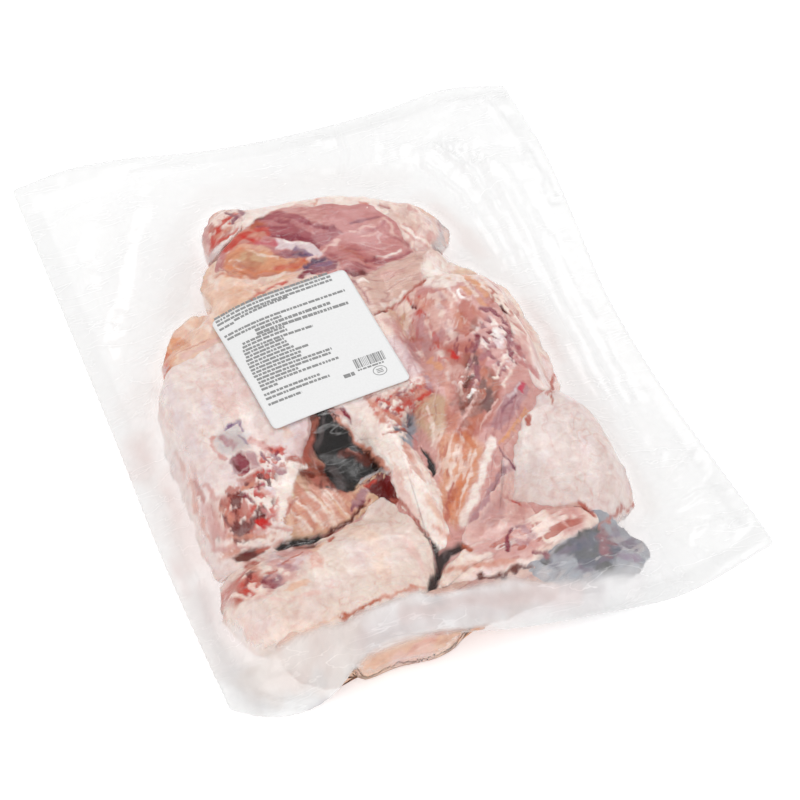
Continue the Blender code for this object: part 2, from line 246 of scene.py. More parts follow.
# The pieces, from the lowest level to the highest. Each has a slot, a level (higher lies on top), an edge
# radius, a base colour, a grain direction in degrees, and an outline. The carcass is the fill behind the
# others, and its mesh has a wider spacing.
PIECES = {
    "belly": {
        "slot": "muscle", "level": 0, "edge": 7, "base": "putty", "grain": 5,
        "outline": [
            (-152, -205), (-100, -203), (-50, -200), (0, -203), (40, -206), (60, -214), (34, -234),
            (-20, -242), (-70, -246), (-112, -246), (-135, -240), (-152, -226),
        ],
    },
    "cavity": {
        "slot": "organ", "level": 1, "edge": 3, "base": "umber", "grain": 80,
        "outline": [
            (-80, -46), (-54, -46), (-50, -64), (-40, -80), (-34, -100), (-34, -120), (-46, -126),
            (-66, -130), (-86, -126), (-92, -100), (-88, -76),
        ],
    },
    "neck_strip": {
        "slot": "skin", "level": 3, "edge": 5, "base": "bone", "grain": 82,
        "outline": [
            (-54, -50), (-30, -46), (-6, -48), (4, -62), (-5, -74), (-14, -92), (-15, -110), (-14, -128),
            (-14, -150), (-16, -170), (-24, -188), (-33, -188), (-37, -168), (-42, -146), (-40, -124),
            (-41, -104), (-47, -82), (-55, -66),
        ],
    },
    "side_meat": {
        "slot": "muscle", "level": 2, "edge": 5, "base": "tan", "grain": 66,
        "outline": [
            (-124, -108), (-104, -84), (-88, -74), (-77, -80), (-74, -100), (-76, -119), (-66, -121),
            (-54, -114), (-44, -110), (-40, -120), (-46, -127), (-62, -136), (-80, -143), (-98, -146),
            (-122, -144), (-134, -130),
        ],
    },
    "clot": {
        "slot": "muscle", "level": 3, "edge": 3, "base": "clot", "grain": 40,
        "outline": [
            (-57, -120), (-52, -112), (-45, -112), (-41, -124), (-40, -138), (-43, -143), (-48, -136),
            (-51, -127),
        ],
    },
    "back_skin": {
        "slot": "skin", "level": 4, "edge": 8, "base": "skin", "grain": 88,
        "outline": [
            (-152, 22), (-164, 6), (-171, -30), (-172, -80), (-174, -114), (-172, -142), (-150, -147),
            (-126, -145), (-113, -138), (-106, -122), (-98, -104), (-87, -86), (-76, -70), (-70, -40),
            (-74, 0), (-90, 28), (-108, 33), (-126, 27), (-140, 25),
        ],
    },
    "front_skin": {
        "slot": "skin", "level": 5, "edge": 7, "base": "butter", "grain": 4,
        "outline": [
            (-178, -160), (-166, -146), (-140, -143), (-118, -147), (-100, -148), (-82, -146), (-66, -138),
            (-53, -128), (-46, -134), (-42, -150), (-37, -168), (-33, -184), (-36, -198), (-48, -212),
            (-80, -217), (-112, -220), (-146, -215), (-167, -207), (-179, -186),
        ],
    },
    "rib_side": {
        "slot": "muscle", "level": 3, "edge": 5, "base": "rose", "grain": 58,
        "outline": [
            (-6, 6), (8, 20), (30, 30), (54, 34), (74, 26), (86, 8), (90, -16), (88, -44), (86, -72),
            (82, -92), (64, -108), (44, -126), (34, -142), (18, -160), (0, -172), (-14, -186), (-20, -180),
            (-18, -156), (-16, -132), (-13, -112), (-8, -94), (-2, -76), (-4, -56), (-8, -30),
        ],
    },
    "hip": {
        "slot": "skin", "level": 4, "edge": 7, "base": "cream", "grain": 70,
        "outline": [
            (48, 40), (58, 60), (74, 68), (92, 64), (106, 48), (114, 20), (117, -20), (115, -60),
            (104, -84), (90, -86), (84, -74), (84, -44), (88, -18), (82, 6), (66, 22),
        ],
    },
    "breast": {
        "slot": "skin", "level": 5, "edge": 8, "base": "ivory", "grain": 75,
        "outline": [
            (98, -80), (112, -94), (121, -125), (123, -158), (118, -184), (98, -199), (82, -197),
            (67, -189), (50, -182), (40, -172), (33, -160), (42, -142), (52, -124), (68, -106), (84, -92),
        ],
    },
    "v_flap": {
        "slot": "skin", "level": 4, "edge": 5, "base": "blush", "grain": 40,
        "outline": [
            (40, -134), (46, -144), (38, -160), (42, -174), (40, -187), (22, -193), (2, -197), (-13, -193),
            (-12, -182), (2, -170), (18, -158), (32, -147),
        ],
    },
    "front_flap": {
        "slot": "skin", "level": 5, "edge": 6, "base": "cream", "grain": 2,
        "outline": [
            (-12, -192), (8, -193), (28, -187), (46, -184), (64, -188), (82, -198), (72, -206),
            (52, -211), (30, -216), (8, -218), (-14, -214), (-30, -208), (-40, -210), (-34, -200),
            (-22, -197),
        ],
    },
    "gizzard": {
        "slot": "organ", "level": 2, "edge": 6, "base": "steel", "grain": 20,
        "outline": [
            (20, -214), (44, -206), (66, -199), (84, -192), (100, -198), (110, -212), (110, -228),
            (94, -238), (68, -240), (44, -232), (28, -224),
        ],
    },
    "wing": {
        "slot": "skin", "level": 3, "edge": 7, "base": "peach_skin", "grain": 30,
        "outline": [
            (-151, 30), (-149, 44), (-140, 58), (-127, 73), (-112, 75), (-100, 62), (-97, 40), (-104, 26),
            (-126, 22), (-143, 22),
        ],
    },
    "drumstick": {
        "slot": "skin", "level": 4, "edge": 7, "base": "peach_skin", "grain": 15,
        "outline": [
            (-92, 114), (-100, 96), (-102, 72), (-98, 46), (-60, 40), (-26, 44), (-20, 62), (-42, 78),
            (-64, 86), (-78, 98), (-84, 110),
        ],
    },
    "knuckle": {
        "slot": "muscle", "level": 3, "edge": 7, "base": "blush", "grain": 60,
        "outline": [
            (-85, 120), (-82, 143), (-74, 160), (-60, 168), (-46, 162), (-44, 144), (-54, 130), (-68, 120),
        ],
    },
    "fat_rim": {
        "slot": "skin", "level": 3, "edge": 8, "base": "fat", "grain": -12,
        "outline": [
            (-58, 124), (-52, 148), (-32, 156), (0, 153), (30, 148), (50, 142), (60, 124), (48, 100),
            (10, 100), (-30, 112),
        ],
    },
    "shoulder": {
        "slot": "skin", "level": 4, "edge": 8, "base": "beige", "grain": 60,
        "outline": [
            (44, 140), (60, 142), (80, 132), (92, 114), (96, 98), (88, 82), (74, 70), (62, 64), (50, 70),
            (44, 88), (42, 112),
        ],
    },
    "thigh": {
        "slot": "muscle", "level": 5, "edge": 6, "base": "pink", "grain": -28,
        "outline": [
            (-88, 104), (-80, 92), (-62, 80), (-42, 74), (-32, 64), (-20, 52), (4, 48), (30, 56), (54, 62),
            (52, 80), (47, 100), (40, 112), (20, 121), (-4, 129), (-26, 135), (-46, 131), (-62, 122),
            (-78, 113),
        ],
    },
    "fillet": {
        "slot": "muscle", "level": 4, "edge": 6, "base": "putty", "grain": 12,
        "outline": [
            (-8, 14), (-10, 40), (0, 54), (22, 60), (44, 62), (60, 58), (54, 44), (48, 32), (34, 26),
            (22, 22), (8, 12),
        ],
    },
    "carcass": {
        "slot": "muscle", "level": 0, "edge": 8, "base": "rose", "grain": 10, "spacing": 2.6,
        "outline": [
            (-120, 30), (-90, 80), (-40, 100), (30, 100), (70, 70), (90, 20), (96, -60), (96, -140),
            (70, -190), (10, -200), (-60, -200), (-130, -190), (-150, -140), (-150, -60),
        ],
    },
}

# Filled patches by their place on the plan: (colour, softness, strength, outline).
AREAS = [
    # Back of the heap: joint end, rim of fat, thigh.
    ("blush", 3, 0.9, [(-83, 120), (-82, 145), (-72, 165), (-60, 180), (-44, 178), (-48, 150), (-56, 134),
                       (-70, 128)]),
    ("mauve", 3, 0.7, [(-50, 178), (-46, 160), (-49, 142), (-58, 132), (-66, 136), (-60, 150), (-55, 168)]),
    ("fat", 4, 0.9, [(-82, 120), (-60, 126), (-48, 132), (-30, 134), (-10, 134), (10, 128), (30, 124),
                      (46, 116), (56, 110), (60, 130), (56, 150), (30, 160), (0, 176), (-40, 178),
                      (-46, 150), (-56, 134)]),
    ("rose", 3, 0.8, [(-28, 152), (-18, 160), (-4, 168), (2, 162), (-4, 150), (-16, 147)]),
    ("rose", 3, 0.75, [(36, 136), (40, 150), (46, 156), (51, 150), (48, 138), (42, 132)]),
    ("apricot", 3, 0.9, [(-82, 98), (-76, 108), (-66, 112), (-58, 104), (-46, 96), (-38, 86), (-24, 80),
                         (-30, 75), (-44, 75), (-60, 79), (-72, 85), (-82, 92)]),
    ("olive_tan", 5, 0.7, [(-72, 100), (-60, 103), (-48, 95), (-54, 87), (-68, 90)]),
    ("salmon", 3, 0.9, [(-78, 106), (-72, 116), (-62, 122), (-48, 127), (-40, 124), (-42, 112), (-52, 107),
                        (-62, 108), (-72, 106)]),
    ("rose", 4, 0.8, [(-34, 131), (-14, 135), (2, 124), (6, 114), (-6, 106), (-14, 118)]),
    ("maroon", 2.4, 0.93, [(-52, 126), (-42, 131), (-28, 131), (-16, 122), (-10, 112), (-6, 100), (-14, 92),
                           (-22, 99), (-34, 103), (-42, 111)]),
    ("maroon", 2.4, 0.9, [(-22, 100), (-10, 107), (4, 104), (8, 94), (0, 89), (-10, 87), (-18, 90)]),
    ("pink", 3, 0.85, [(-4, 112), (10, 112), (30, 112), (42, 106), (41, 99), (24, 99), (8, 97)]),
    ("pink", 3, 0.85, [(14, 98), (26, 100), (42, 96), (49, 86), (47, 74), (41, 62), (24, 62), (18, 72),
                       (13, 84)]),
    ("dusk", 3, 0.93, [(-12, 84), (0, 87), (12, 82), (20, 68), (23, 60), (10, 54), (0, 49), (-6, 56),
                           (-6, 70)]),
    ("putty", 2.4, 0.92, [(-2, 46), (8, 50), (24, 56), (46, 60), (61, 66), (63, 58), (55, 46), (49, 33),
                          (34, 26), (20, 21), (8, 12), (-2, 9)]),
    ("wine", 3, 0.9, [(-5, 56), (4, 62), (14, 58), (9, 49), (-1, 48)]),
    ("lilac_skin", 2.4, 0.92, [(-40, 105), (-31, 101), (-24, 96), (-17, 92), (-13, 84), (-19, 79),
                               (-24, 86), (-30, 92), (-42, 97)]),
    ("plum", 3, 0.75, [(-46, 93), (-36, 93), (-28, 91), (-20, 84), (-24, 80), (-36, 85)]),
    ("plum", 2.4, 0.9, [(-34, 60), (-31, 70), (-22, 77), (-12, 76), (-6, 68), (-6, 60), (-20, 59)]),
    ("beige", 3, 0.9, [(46, 60), (54, 70), (60, 88), (52, 100), (48, 112), (58, 134), (78, 138), (92, 128),
                       (94, 108), (90, 90), (80, 74), (68, 66), (60, 64)]),
    # Left of the label: drumstick skin and wing.
    ("peach_skin", 3, 0.9, [(-97, 106), (-90, 108), (-82, 94), (-70, 84), (-50, 76), (-36, 73), (-30, 66),
                            (-36, 58), (-60, 56), (-90, 52), (-98, 58), (-100, 80)]),
    ("peach", 4, 0.8, [(-90, 54), (-92, 66), (-84, 78), (-76, 80), (-74, 66), (-76, 54)]),
    ("peach", 4, 0.8, [(-62, 60), (-58, 70), (-44, 72), (-34, 68), (-34, 60)]),
    ("peach_skin", 2, 0.95, [(-149, 26), (-151, 34), (-145, 53), (-132, 69), (-118, 77), (-108, 74),
                             (-104, 60), (-104, 32), (-124, 28), (-138, 27)]),
    ("apricot", 3, 0.92, [(-151, 22), (-151, 36), (-145, 54), (-134, 67), (-126, 61), (-126, 40), (-140, 36),
                          (-143, 28)]),
    # Right of the label: fat, hip and ribs.
    ("bone", 4, 0.92, [(44, 27), (47, 35), (52, 48), (64, 60), (74, 68), (92, 66), (84, 58), (78, 42),
                       (74, 24), (62, 16), (52, 20)]),
    ("tan", 4, 0.7, [(80, 58), (88, 62), (102, 58), (105, 40), (98, 30), (86, 30), (82, 42)]),
    ("cream", 3, 0.85, [(-2, 8), (10, 12), (20, 18), (28, 22), (34, 14), (24, 8), (12, 0), (6, -14),
                        (0, -20)]),
    ("tan", 4, 0.8, [(8, 8), (16, 16), (24, 12), (27, -2), (24, -16), (18, -14), (14, 0)]),
    ("lilac_skin", 6, 0.7, [(0, -14), (8, -12), (12, -30), (14, -50), (4, -56), (0, -40)]),
    ("salmon", 4, 0.55, [(34, 22), (56, 20), (60, 2), (57, -16), (42, -24), (33, -8)]),
    ("blush", 4, 0.7, [(36, 4), (50, 6), (54, -10), (44, -22), (36, -14)]),
    ("rust", 3, 0.9, [(60, -3), (67, 2), (73, -13), (68, -26), (56, -28), (50, -22), (57, -12)]),
    ("lilac_skin", 3, 0.9, [(62, -28), (74, -22), (80, -28), (80, -40), (72, -48), (60, -46)]),
    ("rose", 3, 0.85, [(56, -50), (74, -50), (80, -62), (80, -78), (66, -88), (56, -80)]),
    ("brick", 5, 0.92, [(50, -40), (58, -48), (57, -62), (57, -78), (54, -92), (40, -108), (26, -118),
                        (14, -114), (20, -98), (32, -84), (40, -68), (46, -54)]),
    ("mauve", 2.4, 0.92, [(77, -78), (80, -86), (62, -104), (44, -117), (38, -112), (56, -93), (68, -84)]),
    ("olive_tan", 5, 0.8, [(-4, -72), (12, -70), (22, -80), (12, -102), (-2, -110), (-7, -92)]),
    ("apricot", 6, 0.7, [(8, -106), (26, -119), (29, -128), (14, -146), (0, -162), (-14, -178), (-20, -172),
                         (-15, -148), (-5, -130), (-2, -114)]),
    ("bone", 4, 0.8, [(30, -34), (38, -36), (40, -58), (30, -70), (26, -60), (32, -48)]),
    # Left side: bruised joint, crumbs of bone, brown muscle.
    ("ash", 9, 0.75, [(-142, -52), (-136, -50), (-130, -48), (-122, -48), (-118, -58), (-122, -70),
                      (-134, -69), (-142, -66)]),
    ("wine", 1.8, 0.97, [(-139, -75), (-134, -70), (-128, -71), (-126, -78), (-129, -88), (-134, -90),
                         (-139, -85)]),
    ("mauve", 2, 0.9, [(-127, -72), (-121, -74), (-119, -80), (-122, -88), (-128, -88), (-126, -78)]),
    ("brick", 2, 0.9, [(-140, -90), (-130, -92), (-122, -88), (-120, -94), (-128, -99), (-139, -99)]),
    ("bone", 2.4, 0.93, [(-129, -98), (-122, -91), (-118, -82), (-114, -76), (-112, -86), (-106, -92),
                         (-104, -84), (-97, -86), (-100, -96), (-108, -108), (-118, -122), (-124, -128),
                         (-134, -118), (-138, -106), (-130, -102)]),
    ("brick", 2.4, 0.93, [(-161, -104), (-154, -100), (-150, -106), (-145, -110), (-143, -118), (-150, -122),
                          (-158, -117)]),
    ("grey", 1.8, 0.85, [(-146, -119), (-141, -114), (-138, -118), (-139, -123), (-145, -122)]),
    ("lilac_skin", 2.4, 0.85, [(-92, -58), (-80, -58), (-78, -68), (-88, -75), (-95, -72)]),
    ("peach", 2, 0.8, [(-98, -58), (-92, -58), (-92, -71), (-96, -72)]),
    ("rose", 4, 0.8, [(-100, -82), (-92, -90), (-84, -90), (-78, -78), (-86, -76)]),
    ("tan", 3, 0.93, [(-110, -117), (-100, -100), (-92, -92), (-82, -82), (-76, -86), (-76, -108),
                      (-79, -122), (-92, -122), (-104, -116)]),
    ("peach", 3, 0.9, [(-118, -132), (-112, -120), (-104, -115), (-90, -120), (-76, -121), (-66, -120),
                       (-56, -115), (-48, -116), (-60, -131), (-72, -138), (-84, -143), (-100, -144),
                       (-112, -140)]),
    ("brown", 12, 0.95, [(-98, -92), (-82, -80), (-72, -90), (-72, -116), (-80, -124), (-94, -112)]),
    ("brown", 2, 0.85, [(-77, -58), (-70, -58), (-71, -70), (-82, -82), (-88, -82), (-79, -70)]),
    # Front: skin with torn edge, flap and pieces at the lower right.
    ("mauve", 5, 0.75, [(-136, -146), (-118, -149), (-104, -148), (-100, -152), (-108, -160), (-120, -165),
                        (-134, -168), (-142, -158)]),
    ("plum", 2, 0.9, [(-152, -173), (-144, -169), (-138, -174), (-138, -182), (-146, -184), (-152, -179)]),
    ("peach", 2, 0.8, [(-141, -188), (-134, -185), (-124, -184), (-122, -188), (-130, -190), (-138, -190)]),
    ("salmon", 3, 0.75, [(-116, -161), (-109, -160), (-108, -172), (-111, -181), (-117, -178)]),
    ("sand", 2, 0.7, [(-173, -190), (-168, -196), (-165, -206), (-172, -206)]),
    ("mauve", 4, 0.5, [(4, -176), (16, -164), (30, -160), (26, -172), (12, -184)]),
    ("rose", 2, 0.88, [(22, -192), (30, -187), (36, -191), (35, -200), (28, -205), (22, -200)]),
    ("rose", 2.4, 0.75, [(12, -201), (20, -194), (26, -204), (35, -208), (26, -215), (12, -212)]),
    ("putty", 2, 0.85, [(48, -184), (60, -185), (71, -188), (75, -194), (66, -200), (56, -206), (50, -196)]),
    ("navy", 4, 0.85, [(40, -218), (50, -214), (64, -209), (80, -204), (87, -210), (86, -222), (76, -232),
                       (66, -228), (54, -223)]),
    ("purple", 4, 0.6, [(86, -206), (97, -202), (102, -212), (94, -224), (84, -224)]),
]

# Crumbs and fibres scattered over a part of the plan: (colour, size, stretch, direction in degrees, share,
# strength, outline).
TEXTURES = [
    # Torn edge of the skin on the left.
    ("brick", 7, 1.3, 70, 0.50, 0.75, [(-166, -96), (-150, -98), (-138, -100), (-126, -128), (-150, -134),
                                       (-168, -126)]),
    ("bone", 5, 1.4, 60, 0.48, 0.8, [(-160, -98), (-126, -98), (-104, -84), (-98, -96), (-112, -118),
                                      (-124, -134), (-160, -134)]),
    ("brick", 4.5, 1.5, 60, 0.44, 0.8, [(-144, -88), (-118, -78), (-100, -76), (-100, -90), (-116, -104),
                                         (-126, -130), (-160, -134), (-162, -100)]),
    ("clot", 4, 1.6, 75, 0.40, 0.85, [(-160, -100), (-140, -96), (-122, -88), (-112, -96), (-126, -128),
                                       (-150, -132), (-164, -122)]),
    ("red", 4, 1.2, 40, 0.38, 0.8, [(-128, -90), (-112, -74), (-98, -74), (-98, -86), (-112, -102),
                                     (-124, -130), (-142, -130), (-138, -104)]),
    ("hot_pink", 5, 1.3, 10, 0.36, 0.5, [(-128, -92), (-116, -86), (-110, -98), (-120, -112), (-132, -106)]),
    ("rose", 5, 5, 88, 0.46, 0.7, [(-170, -60), (-162, -62), (-154, -98), (-156, -124), (-170, -124)]),
    ("brick", 3.5, 6, 86, 0.40, 0.7, [(-168, -74), (-160, -76), (-158, -98), (-168, -98)]),
    ("salmon", 4, 4, 16, 0.46, 0.75, [(-168, -122), (-126, -134), (-112, -138), (-118, -144), (-150, -140),
                                      (-168, -132)]),
    # Streaked meat below the hollow.
    ("brick", 4, 5, 104, 0.46, 0.6, [(-114, -122), (-104, -104), (-92, -92), (-80, -84), (-76, -118),
                                    (-60, -124), (-70, -138), (-92, -144), (-114, -140)]),
    ("cream", 4, 5, 104, 0.44, 0.7, [(-114, -122), (-104, -112), (-78, -118), (-60, -122), (-70, -138),
                                    (-92, -144), (-114, -140)]),
    ("umber", 3.4, 3, 66, 0.38, 0.7, [(-98, -96), (-82, -82), (-76, -96), (-76, -118), (-88, -120)]),
    # Front corner.
    ("rose", 9, 1.4, 20, 0.50, 0.75, [(-180, -152), (-160, -150), (-118, -150), (-104, -156), (-116, -176),
                                      (-140, -188), (-174, -186)]),
    ("brick", 6, 1.5, 60, 0.56, 0.85, [(-178, -156), (-160, -152), (-148, -160), (-152, -184),
        (-174, -184)]),
    ("red", 4, 1.2, 40, 0.44, 0.85, [(-174, -158), (-158, -156), (-152, -168), (-158, -184), (-174, -182)]),
    ("cream", 5, 1.4, 30, 0.40, 0.8, [(-178, -156), (-156, -152), (-122, -160), (-112, -172), (-150, -188),
                                       (-172, -186)]),
    ("clot", 3.4, 1.4, 50, 0.34, 0.8, [(-172, -160), (-150, -156), (-148, -176), (-160, -184),
        (-172, -178)]),
    ("lilac_skin", 6, 1.4, 10, 0.46, 0.7, [(-140, -150), (-108, -150), (-106, -160), (-122, -178),
                                            (-138, -168)]),
    # Middle, under the label's corner.
    ("salmon", 7, 1.6, 20, 0.50, 0.5, [(-40, -54), (14, -52), (16, -72), (-4, -80), (-16, -92), (-34, -90),
                                        (-32, -74)]),
    ("brick", 4.5, 1.8, 30, 0.42, 0.7, [(-38, -54), (14, -54), (14, -72), (-6, -80), (-18, -90), (-34, -90),
                                         (-30, -74)]),
    ("bone", 5, 1.5, 60, 0.42, 0.8, [(-38, -54), (10, -54), (10, -70), (-8, -78), (-20, -94), (-36, -92)]),
    ("red", 3.5, 1.5, 10, 0.38, 0.85, [(-34, -58), (14, -58), (14, -72), (-8, -78), (-20, -88), (-32, -80)]),
    ("wine", 3, 1.5, 40, 0.34, 0.8, [(-30, -60), (12, -60), (12, -72), (-8, -78), (-20, -88)]),
    ("steel", 3.5, 2, 100, 0.42, 0.8, [(-24, -84), (-4, -74), (-6, -92), (-16, -112), (-22, -100)]),
    # Brown-red mass between the ribs.
    ("brick", 9, 1.6, 50, 0.72, 0.85, [(34, -30), (58, -34), (62, -60), (60, -82), (50, -98), (30, -112),
                                       (14, -116), (10, -98), (22, -74), (32, -52)]),
    ("brown", 6, 2.6, 50, 0.58, 0.85, [(46, -44), (58, -50), (60, -80), (50, -94), (34, -104), (26, -98),
                                       (34, -76)]),
    ("umber", 3.6, 3, 50, 0.48, 0.85, [(46, -46), (56, -56), (57, -80), (48, -94), (32, -102), (28, -92),
                                        (38, -70)]),
    ("rust", 4.5, 2.6, 50, 0.48, 0.85, [(54, -60), (59, -80), (46, -98), (26, -114), (16, -112), (30, -92)]),
    ("blush", 3, 3, 50, 0.38, 0.45, [(34, -40), (56, -50), (58, -82), (40, -102), (18, -116), (14, -100),
                                      (28, -70)]),
    # White crumbs here are painted glints of the film over the ribs.
    ("white", 2.2, 1.2, 60, 0.30, 0.8, [(34, -56), (50, -56), (52, -80), (34, -100), (24, -92)]),
    ("wine", 3.5, 3, 66, 0.42, 0.7, [(44, -20), (62, -24), (60, -44), (48, -62), (36, -60), (40, -40)]),
    ("salmon", 6, 1.6, 60, 0.46, 0.6, [(0, -60), (34, -40), (32, -66), (16, -92), (-2, -104)]),
    # Right of the ribs.
    ("rose", 7, 2.2, 112, 0.52, 0.75, [(58, -16), (82, -14), (92, -36), (92, -72), (80, -80), (64, -86),
                                       (58, -60)]),
    ("lilac_skin", 5, 2, 112, 0.44, 0.8, [(60, -18), (80, -18), (86, -44), (80, -62), (64, -68)]),
    ("wine", 3.4, 3.4, 108, 0.39, 0.85, [(56, -24), (82, -16), (88, -40), (82, -66), (60, -74)]),
    ("bone", 3, 2, 100, 0.38, 0.8, [(58, -20), (84, -20), (86, -60), (62, -80)]),
    ("brick", 4, 3, 118, 0.43, 0.75, [(58, 10), (76, 8), (76, -14), (70, -30), (54, -28)]),
    ("rose", 5, 4, 116, 0.45, 0.65, [(84, 30), (106, 36), (117, -10), (116, -58), (92, -78), (88, -20)]),
    ("brick", 3, 5, 118, 0.37, 0.7, [(84, 10), (104, 12), (116, -30), (108, -60), (92, -74), (88, -20)]),
    ("apricot", 6, 2, 110, 0.46, 0.7, [(62, 28), (84, 30), (88, 8), (76, -6), (64, 8)]),
    # Pale pink top of the ribs and the fat above it.
    ("pink", 9, 1.5, 80, 0.47, 0.6, [(2, 2), (34, 26), (58, 24), (60, -10), (50, -28), (18, -24)]),
    ("cream", 5, 1.6, 60, 0.40, 0.6, [(2, 2), (34, 26), (58, 24), (60, -10), (50, -28), (18, -40)]),
    ("red", 3, 2.4, 70, 0.33, 0.75, [(20, 16), (40, 22), (44, -30), (28, -44), (20, -20)]),
    ("mauve", 9, 1.4, 60, 0.46, 0.5, [(16, -4), (50, 6), (50, -20), (20, -30), (2, -50)]),
    # Membrane running to the front.
    ("orange", 7, 3, 56, 0.47, 0.6, [(10, -108), (24, -116), (22, -132), (0, -160), (-14, -176),
        (-12, -140)]),
    ("cream", 4, 4, 56, 0.43, 0.6, [(2, -98), (26, -116), (24, -134), (0, -160), (-14, -176), (-12, -130)]),
    ("brick", 3, 3, 56, 0.36, 0.6, [(2, -110), (20, -120), (4, -150), (-14, -176), (-14, -140)]),
    ("salmon", 5, 3, 96, 0.42, 0.6, [(-38, -96), (-16, -96), (-16, -150), (-22, -186), (-36, -176)]),
    # Torn fat over the shoulder.
    ("cream", 5, 2, 60, 0.48, 0.7, [(46, 62), (70, 66), (88, 90), (80, 132), (50, 130), (52, 92)]),
    ("rose", 3.4, 3, 55, 0.38, 0.7, [(48, 62), (72, 68), (86, 90), (70, 124), (52, 100)]),
    ("salmon", 4, 3, 40, 0.38, 0.3, [(46, 30), (76, 66), (90, 60), (76, 22), (56, 18)]),
    # Thigh and its joint.
    ("wine", 6, 3, -28, 0.40, 0.45, [(-52, 128), (-24, 132), (0, 108), (18, 84), (24, 58),
        (0, 48), (-12, 84),
                                      (-40, 104)]),
    ("pink", 5, 3.4, -28, 0.42, 0.5, [(-50, 128), (-18, 132), (44, 104), (50, 66), (0, 48), (-14, 84)]),
    ("rust", 7, 2, 12, 0.45, 0.5, [(-82, 104), (-62, 106), (-30, 84), (-30, 74), (-62, 80)]),
    ("red", 5, 2, 24, 0.44, 0.6, [(-80, 110), (-58, 122), (-40, 122), (-44, 106), (-66, 106)]),
    ("brick", 4, 1.6, 60, 0.44, 0.8, [(-86, 118), (-82, 146), (-68, 160), (-54, 156), (-58, 136),
        (-70, 122)]),
    ("cream", 5, 1.8, 60, 0.46, 0.8, [(-86, 118), (-80, 150), (-62, 176), (-44, 170), (-56, 134)]),
    ("red", 3, 1.4, 30, 0.36, 0.8, [(-86, 120), (-80, 140), (-66, 150), (-58, 140), (-66, 124)]),
    ("rose", 6, 2.2, -12, 0.42, 0.5, [(-44, 136), (0, 138), (54, 118), (56, 148), (0, 174), (-44, 172)]),
    # Folds at the front right.
    ("rose", 8, 2, 6, 0.64, 0.85, [(-14, -194), (20, -188), (46, -184), (72, -190), (70, -206), (30, -212),
                                    (0, -212)]),
    ("brick", 4, 3, 10, 0.42, 0.8, [(-14, -198), (40, -188), (78, -192), (66, -206), (24, -214), (0, -212)]),
    ("bone", 5, 2.4, 4, 0.42, 0.7, [(-16, -196), (44, -186), (74, -192), (62, -206), (24, -212),
        (-10, -212)]),
    ("rose", 6, 3, 42, 0.46, 0.6, [(-10, -186), (30, -158), (40, -150), (40, -184), (10, -192)]),
    # Dark organ.
    ("navy", 9, 1.8, 20, 0.54, 0.92, [(30, -216), (64, -208), (84, -202), (88, -216), (70, -232),
        (44, -226)]),
    ("black", 5, 1.8, 24, 0.42, 0.9, [(40, -214), (64, -208), (84, -203), (88, -214), (70, -224)]),
    ("bruise", 7, 1.6, 10, 0.46, 0.85, [(32, -218), (80, -204), (108, -208), (104, -230), (60, -232)]),
    ("wine", 6, 1.5, 60, 0.42, 0.8, [(70, -204), (94, -202), (92, -222), (76, -226)]),
    ("ash", 4, 3.5, 24, 0.42, 0.7, [(24, -216), (80, -202), (112, -210), (108, -236), (60, -238),
        (30, -226)]),
    # Meat under the front fold.
    ("salmon", 5, 4, 4, 0.40, 0.5, [(-130, -236), (-60, -238), (20, -232), (20, -246), (-60, -252),
                                   (-130, -252)]),
    ("bone", 5, 3, 2, 0.42, 0.6, [(-120, -232), (-60, -236), (10, -232), (10, -242), (-60, -246)]),
    ("tan", 8, 3, 2, 0.5, 0.6, [(-130, -232), (20, -232), (20, -244), (-60, -250), (-130, -250)]),
    ("brown", 4, 4, 2, 0.46, 0.7, [(-130, -244), (-60, -246), (20, -238), (20, -250), (-60, -256),
                                   (-130, -256)]),
]

